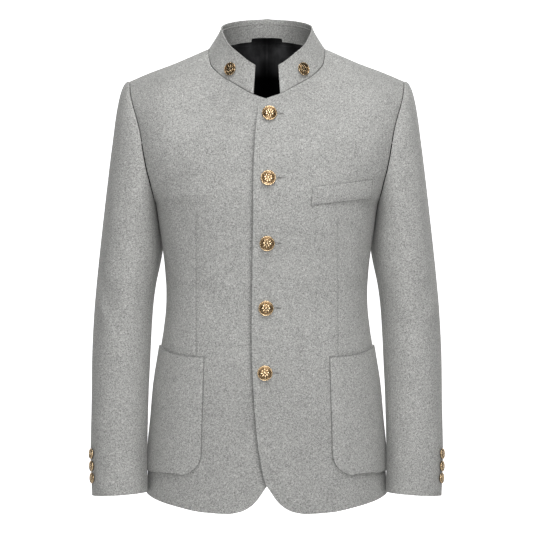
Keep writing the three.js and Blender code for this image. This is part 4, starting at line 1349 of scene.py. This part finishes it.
@dataclass
class Collar:
    """The stand collar, its facing and the hanger loop."""

    half: float = 69.0
    depth: float = 69.0
    mid_y: float = -11.0
    front_angle: float = 14.5
    facing_drop: float = 6.5
    facing_over: float = 2.6
    lined: float = 5.0
    loop_half: float = 25.3
    loop_rise: tuple[float, float] = (9.5, 1.5)

    def neck(self) -> Grid:
        """The neckline of one side, from the collar's front end to the middle of the back."""
        row = np.linspace(5, 0, 90)
        h = ROWS.at(row, "start")
        x = NECKLINE.at(row, "x")
        front = FORM.point(Panel.FRONT, FORM.find(Panel.FRONT, x, h), h)
        x = np.linspace(NECK_HALF, 0, 48)[1:]
        h = BACK_NECK.at(x, "h")
        back = FORM.point(Panel.BACK, FORM.find(Panel.BACK, x, h), h)
        line = np.concatenate([front, back])
        length = lengths(line)
        return resampled(np.linspace(0, length[-1], 84), length, line)

    def grid(self) -> Grid:
        """Points of the collar's outer face, top row first, from the wearer's right end round to the left."""
        low = self.neck()
        length = lengths(low)
        angle = self.front_angle + (180 - self.front_angle) * length / length[-1]
        a = np.radians(angle)
        ring = (self.half * np.sin(a), self.mid_y - self.depth * np.cos(a), COLLAR_TOP.at(angle, "z"))
        high = np.stack(ring, axis=-1)
        v = spread((0, 0.06, 0.94, 1), (3, 20, 3))[:, None, None]
        side = high[None] * (1 - v) + low[None] * v
        mirror = side * np.array([-1, 1, 1])
        return np.concatenate([mirror[:, :-1], side[:, ::-1]], axis=1)

    def build(self, finishes: Finishes) -> list[bpy.types.Object]:
        """The collar, its facing and its loop."""
        base = self.grid()
        normal = -directions(base)
        middle = (base.shape[1] - 1) // 2
        normal[:, middle, 0] = 0
        normal = unit(normal)
        hollow = -0.8 * np.sin(np.pi * np.linspace(0, 1, base.shape[0]))[:, None]
        roll = 0.5 * np.exp(-((np.linspace(0, 1, base.shape[0])[:, None] / 0.12) ** 2))
        outer = inset(base + normal * (hollow + roll)[..., None], bottom=SEWN)
        collar = Cloth(
            "cloth_collar", outer, COLLAR_WOOL, ("collar",), Slot.WOOL, (0.46, 0.055),
            seams=(False, True, False, False),
            rests_on=("front_left", "front_right", "back_left", "back_right"), reverse=True,
            round_edge=0.9, groove=0.85,
        ).build(finishes)
        depth = COLLAR_WOOL + FACING_GAP - 0.2
        inner = base - normal * (depth - hollow)[..., None]
        cut = []
        for column in np.swapaxes(inner, 0, 1):
            down = lengths(column)
            line = resampled(np.linspace(self.facing_drop, down[-1] - GAP, 18), down, column)
            over = self.facing_over * eased(line[-1, 1], -30, 20)
            cut.append(np.concatenate([line, line[-1:] + unit(line[-1:] - line[-3:-2]) * over]))
        facing_grid = inset(np.stack(cut, axis=1), start=1.2, end=1.2)
        facing = Cloth(
            "cloth_collar_facing", facing_grid, FACING_CLOTH, ("collar_facing",), Slot.WOOL,
            (0.44, 0.046), seams=(True, False, False, False), rests_on=("collar",), reverse=True,
            round_edge=0.4, groove=0.3,
        ).build(finishes)
        facing.data.materials.append(finishes.of(Slot.LINING))
        last = len(facing.data.materials) - 1
        refinish(facing, lambda at: covered(at, facing_grid[-1], self.lined), old=None, new=last)
        return [collar, facing, self.loop(facing_grid[:-1], finishes)]

    def loop(self, facing: Grid, finishes: Finishes) -> bpy.types.Object:
        """The hanger loop: a flat tape caught down at its ends, standing off the facing between them."""
        middle = (facing.shape[1] - 1) // 2
        facing = facing[:, middle - 22 : middle + 23]
        normal = -directions(facing)
        x = facing[-1, :, 0]
        places = np.linspace(-self.loop_half, self.loop_half, 40)
        order = np.argsort(x)
        lines = (facing[-1], facing[-8], normal[-1])
        low, up, out = (resampled(places, x[order], line[order]) for line in lines)
        bow = 1.1 * (1 - (places / self.loop_half) ** 2)
        rows = []
        for rise in np.linspace(*self.loop_rise, 6):
            base = low + unit(up - low) * rise
            rows.append(base - unit(out) * (FACING_CLOTH + 0.35 + bow)[:, None])
        return Cloth(
            "tape_hanger_loop", np.array(rows), LOOP_CLOTH, ("hanger_loop",), Slot.LINING,
            (0.051, 0.01), rests_on=("collar_facing",), held="stretched", reverse=True,
            round_edge=0.4,
        ).build(finishes)


@dataclass
class Buttons:
    """Domed metal buttons with a rope rim and a plain eight-petal rosette, and the worked buttonholes."""

    front_radius: float = 11.2
    collar_radius: float = 10.0
    cuff_radius: float = 7.8
    top_x: float = 3.6
    drift_x: float = 1.6
    top_z: float = -105.0
    pitch: float = 95.0
    count: int = 5
    collar_x: float = 53.0
    collar_row: float = 0.6
    cuff_angle: float = 60.0
    cuff_z: tuple[float, ...] = (-608.0, -626.0, -643.5)
    hole_x: float = 10.8
    hole: tuple[float, float, float] = (8.2, 1.05, 0.7)
    made: list[bpy.types.Object] = field(default_factory=list)

    def pattern(self, radius: float, finishes: Finishes) -> bpy.types.Object:
        """One button at the origin, facing +Z.

        Args:
            radius: Its radius in millimetres.
            finishes: The materials.

        Returns:
            The button that the others are copied from.
        """
        r = radius * MM
        thick = (0.75 + 0.25 * radius / self.front_radius) * MM
        base = 1.4 * MM
        # The dark brass paints shade into the recesses, together with duller tarnish.
        bright, tarnish_and_shade = finishes.of(Slot.BRASS), finishes.recess
        parts = []

        def add(
            material: bpy.types.Material, height: float,
            size: tuple[float, ...] = (1, 1, 1), turn: float = 0.0,
        ) -> None:
            """Takes up the newest part with a finish, at its height, size and turn."""
            part = bpy.context.object
            part.data.materials.clear()
            part.data.materials.append(material)
            part.location.z, part.scale, part.rotation_euler.z = height, size, turn
            parts.append(part)

        def ring(major: float, minor: float, steps: tuple[int, int], height: float) -> None:
            """Adds a bright ring round the face."""
            bpy.ops.mesh.primitive_torus_add(
                major_radius=major, minor_radius=minor, major_segments=steps[0], minor_segments=steps[1]
            )
            add(bright, height)

        def grains(
            count: int, away: float, steps: tuple[int, int], height: float, size: tuple[float, ...],
            first: float = 0.0, lean: float = 0.0,
        ) -> None:
            """Adds a circle of bright grains round the face, each leaning by an angle."""
            for k in range(count):
                a = 2 * math.pi * (k + first) / count
                place = (away * math.cos(a), away * math.sin(a), 0)
                bpy.ops.mesh.primitive_uv_sphere_add(
                    segments=steps[0], ring_count=steps[1], radius=1, location=place
                )
                add(bright, height, size, a + lean)

        bpy.ops.object.select_all(action="DESELECT")
        bpy.ops.mesh.primitive_cylinder_add(vertices=48, radius=r * 0.97, depth=2.2 * thick)
        bpy.ops.object.mode_set(mode="EDIT")
        bpy.ops.mesh.select_all(action="SELECT")
        bpy.ops.mesh.bevel(offset=0.5 * thick, segments=3, affect="EDGES")
        bpy.ops.object.mode_set(mode="OBJECT")
        add(tarnish_and_shade, base + 1.1 * thick)
        shank = 3.2 * MM * radius / self.front_radius
        bpy.ops.mesh.primitive_cylinder_add(vertices=20, radius=shank, depth=1.6 * MM)
        add(tarnish_and_shade, 0.8 * MM)
        ring(r * 0.93, 0.75 * thick, (64, 10), base + 1.9 * thick)
        bead = (0.085 * r, 0.052 * r, 0.6 * thick)
        grains(40, r * 0.93, (8, 6), base + 2.15 * thick, bead, lean=math.radians(38))
        ring(r * 0.74, 0.3 * thick, (48, 8), base + 2.3 * thick)
        bpy.ops.mesh.primitive_uv_sphere_add(segments=32, ring_count=12, radius=1)
        add(tarnish_and_shade, base + 2.0 * thick, (0.7 * r, 0.7 * r, 1.1 * thick))
        petal = (0.21 * r, 0.115 * r, 0.62 * thick)
        grains(8, r * 0.41, (12, 8), base + 2.75 * thick, petal, first=0.5)
        grains(8, r * 0.6, (8, 6), base + 2.5 * thick, (0.05 * r,) * 3)
        bpy.ops.mesh.primitive_uv_sphere_add(segments=16, ring_count=10, radius=1)
        add(bright, base + 3.0 * thick, (0.17 * r, 0.17 * r, 0.75 * thick))
        button = joined(parts, f"pattern_{round(radius * 10)}")
        bpy.ops.object.shade_smooth_by_angle(angle=math.radians(40))
        return button

    def sew(self, pattern: bpy.types.Object, node: str, seat: Vector, out: Vector, turn: float) -> None:
        """Copies a button to its place.

        Args:
            pattern: The button to copy.
            node: The solid it stands for.
            seat: Where its shank meets the cloth.
            out: The way it faces.
            turn: Its turn about that way, in degrees, as hand-sewn buttons differ.
        """
        piece = pattern.copy()
        piece.data = pattern.data.copy()
        piece.name = piece.data.name = f"metal_{node}"
        bpy.context.collection.objects.link(piece)
        face = out.to_track_quat("Z", "Y").to_matrix().to_4x4()
        piece.matrix_world = Matrix.Translation(seat) @ face @ Matrix.Rotation(math.radians(turn), 4, "Z")
        select_only(piece)
        bpy.ops.object.transform_apply(location=True, rotation=True, scale=True)
        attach(piece, "root")
        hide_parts(node)
        self.made.append(piece)

    def build(self, collar: Collar, finishes: Finishes) -> None:
        """All the buttons, and a worked buttonhole behind each front one."""
        large = self.pattern(self.front_radius, finishes)
        for i in range(self.count):
            x, z = self.top_x - self.drift_x * i, self.top_z - self.pitch * i
            point = FORM.at(Panel.FRONT, x, z)
            out = FORM.facing(Panel.FRONT, np.array(x), np.array(z))
            seat = point + out * (LAP_STEP + 0.2)
            self.sew(large, f"button_front_{i + 1}", Vector(seat * MM), Vector(out), 7.0 * i)
            self.buttonhole(i, x, z, finishes)
        middle = self.pattern(self.collar_radius, finishes)
        grid = collar.grid()
        row = int(grid.shape[0] * self.collar_row)
        normal = -directions(grid)
        for side in Side:
            away = np.abs(grid[row, :, 0] - self.collar_x * side.value)
            col = int(np.argmin(np.where(grid[row, :, 1] < -20, away, np.inf)))
            out = normal[row, col]
            seat = grid[row, col] - out * 0.1
            self.sew(middle, f"button_collar_{side.word}", Vector(seat * MM), Vector(out), 11.0)
        small = self.pattern(self.cuff_radius, finishes)
        for side in Side:
            for i, z in enumerate(self.cuff_z):
                angle, height = np.array(self.cuff_angle), np.array(z)
                seat = Sleeves.arm(angle, height)
                along = Sleeves.arm(angle + 1, height) - Sleeves.arm(angle - 1, height)
                up = Sleeves.arm(angle, height + 1) - Sleeves.arm(angle, height - 1)
                out = unit(np.cross(along, up))
                out = out if out[0] > 0 else -out
                mirror = np.array([side.value, 1, 1])
                seat, out = (seat + out * 0.2) * mirror, out * mirror
                self.sew(small, f"button_cuff_{side.word}_{i + 1}", Vector(seat * MM), Vector(out), 9.0 * i)
        for pattern in (large, middle, small):
            bpy.data.objects.remove(pattern, do_unlink=True)
        LOG.info("%d buttons", len(self.made))

    def buttonhole(self, i: int, x: float, z: float, finishes: Finishes) -> None:
        """A worked hole: a narrow ring of thread that runs from under the button towards the side."""
        centre_x = x + self.hole_x
        point = FORM.at(Panel.FRONT, centre_x, z)
        out = Vector(FORM.facing(Panel.FRONT, np.array(centre_x), np.array(z)))
        bpy.ops.object.select_all(action="DESELECT")
        bpy.ops.mesh.primitive_torus_add(
            major_radius=1, minor_radius=0.34, major_segments=48, minor_segments=8
        )
        ring = bpy.context.object
        ring.data.materials.append(finishes.thread)
        face = out.to_track_quat("Z", "Y").to_matrix().to_4x4()
        seat = Vector(point * MM) + out * (LAP_STEP + 0.05) * MM
        size = Matrix.Diagonal((*(side * MM for side in self.hole), 1))
        ring.matrix_world = Matrix.Translation(seat) @ face @ size
        piece = joined([ring], f"thread_buttonhole_{i + 1}")
        bpy.ops.object.shade_smooth()
        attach(piece, "root")


@dataclass
class Studio:
    """A pale floor and sweep, soft lights and the camera at the photograph's place."""

    distance: float = 3.0
    height: float = -0.329
    lens: float = 133.3
    glow_from: tuple[float, float] = (0.9, 1.5)
    room_light: float = 0.03
    room_seen: float = 0.85

    def build(self) -> None:
        """Makes the floor, the lights and the camera."""
        scene = bpy.context.scene
        scene.view_settings.view_transform = "Standard"
        scene.view_settings.look = "None"
        world = bpy.data.worlds.new("soft_room")
        scene.world = world
        world.use_nodes = True
        sky = world.node_tree.nodes["Background"]
        sky.inputs["Color"].default_value = (1, 1, 1, 1)
        nodes, links = world.node_tree.nodes, world.node_tree.links
        path = nodes.new("ShaderNodeLightPath")
        seen = nodes.new("ShaderNodeMapRange")
        seen.inputs["To Min"].default_value = self.room_light
        seen.inputs["To Max"].default_value = self.room_seen
        links.new(path.outputs["Is Camera Ray"], seen.inputs["Value"])
        links.new(seen.outputs["Result"], sky.inputs["Strength"])
        bpy.ops.object.select_all(action="DESELECT")
        bpy.ops.mesh.primitive_plane_add(size=1, location=(0, 1.4, -0.95))
        floor = bpy.context.object
        floor.name = "studio_sweep"
        floor.scale = (14, 9, 1)
        bpy.ops.object.transform_apply(location=True, rotation=True, scale=True)
        bpy.ops.object.mode_set(mode="EDIT")
        bpy.ops.mesh.select_all(action="DESELECT")
        bpy.ops.object.mode_set(mode="OBJECT")
        for edge in floor.data.edges:
            edge.select = all(floor.data.vertices[v].co.y > 5 for v in edge.vertices)
        bpy.ops.object.mode_set(mode="EDIT")
        bpy.ops.mesh.extrude_region_move(TRANSFORM_OT_translate={"value": (0, 0, 7)})
        bpy.ops.object.mode_set(mode="OBJECT")
        bend = floor.modifiers.new("cove", "BEVEL")
        bend.width, bend.segments, bend.limit_method = 2.0, 16, "ANGLE"
        bpy.ops.object.modifier_apply(modifier=bend.name)
        bpy.ops.object.shade_smooth()
        graph = Graph("studio_white")
        split = graph.add("SeparateXYZ", {"Vector": graph.place})
        white = {
            "Base Color": (0.9, 0.9, 0.9, 1),
            "Roughness": 0.9,
            "Emission Color": (1, 1, 1, 1),
            "Emission Strength": graph.between(split.outputs["Y"], (0.0, 1.0), self.glow_from),
        }
        floor.data.materials.append(graph.surface(white))
        self.light("key", (0.25, -1.0, 1.5), (0.0, 0.0, -0.1), 1.0, 27)
        self.light("front", (0.0, -3.4, 0.45), (0.0, 0.0, -0.2), 1.4, 56)
        self.light("rear", (0.0, 2.4, 1.6), (0.0, 0.0, -0.2), 2.0, 16)
        data = bpy.data.cameras.new("view")
        data.lens, data.sensor_width = self.lens, 36.0
        camera = bpy.data.objects.new("view", data)
        camera.location = (-0.0005, -self.distance, self.height)
        camera.rotation_euler = (math.radians(90), 0, 0)
        scene.collection.objects.link(camera)
        scene.camera = camera

    @staticmethod
    def light(name: str, place: tuple, target: tuple, size: float, power: float) -> None:
        """One soft square light, turned to its target."""
        data = bpy.data.lights.new(name, "AREA")
        data.size, data.energy = size, power
        lamp = bpy.data.objects.new(name, data)
        lamp.location = place
        lamp.rotation_euler = (Vector(target) - Vector(place)).to_track_quat("-Z", "Y").to_euler()
        bpy.context.scene.collection.objects.link(lamp)


def main() -> None:
    """Builds the coat and its studio in order."""
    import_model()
    Studio().build()
    finishes = Finishes()
    fronts, backs, sleeves, collar = Fronts(), Backs(), Sleeves(), Collar()
    for side in Side:
        fronts.front(side, finishes)
        fronts.patch(side, finishes)
        backs.back(side, finishes)
        backs.lining(side, finishes)
        sleeves.build(side, finishes)
    fronts.welt(finishes)
    collar.build(finishes)
    Buttons().build(collar, finishes)


if __name__ == "__main__":
    main()
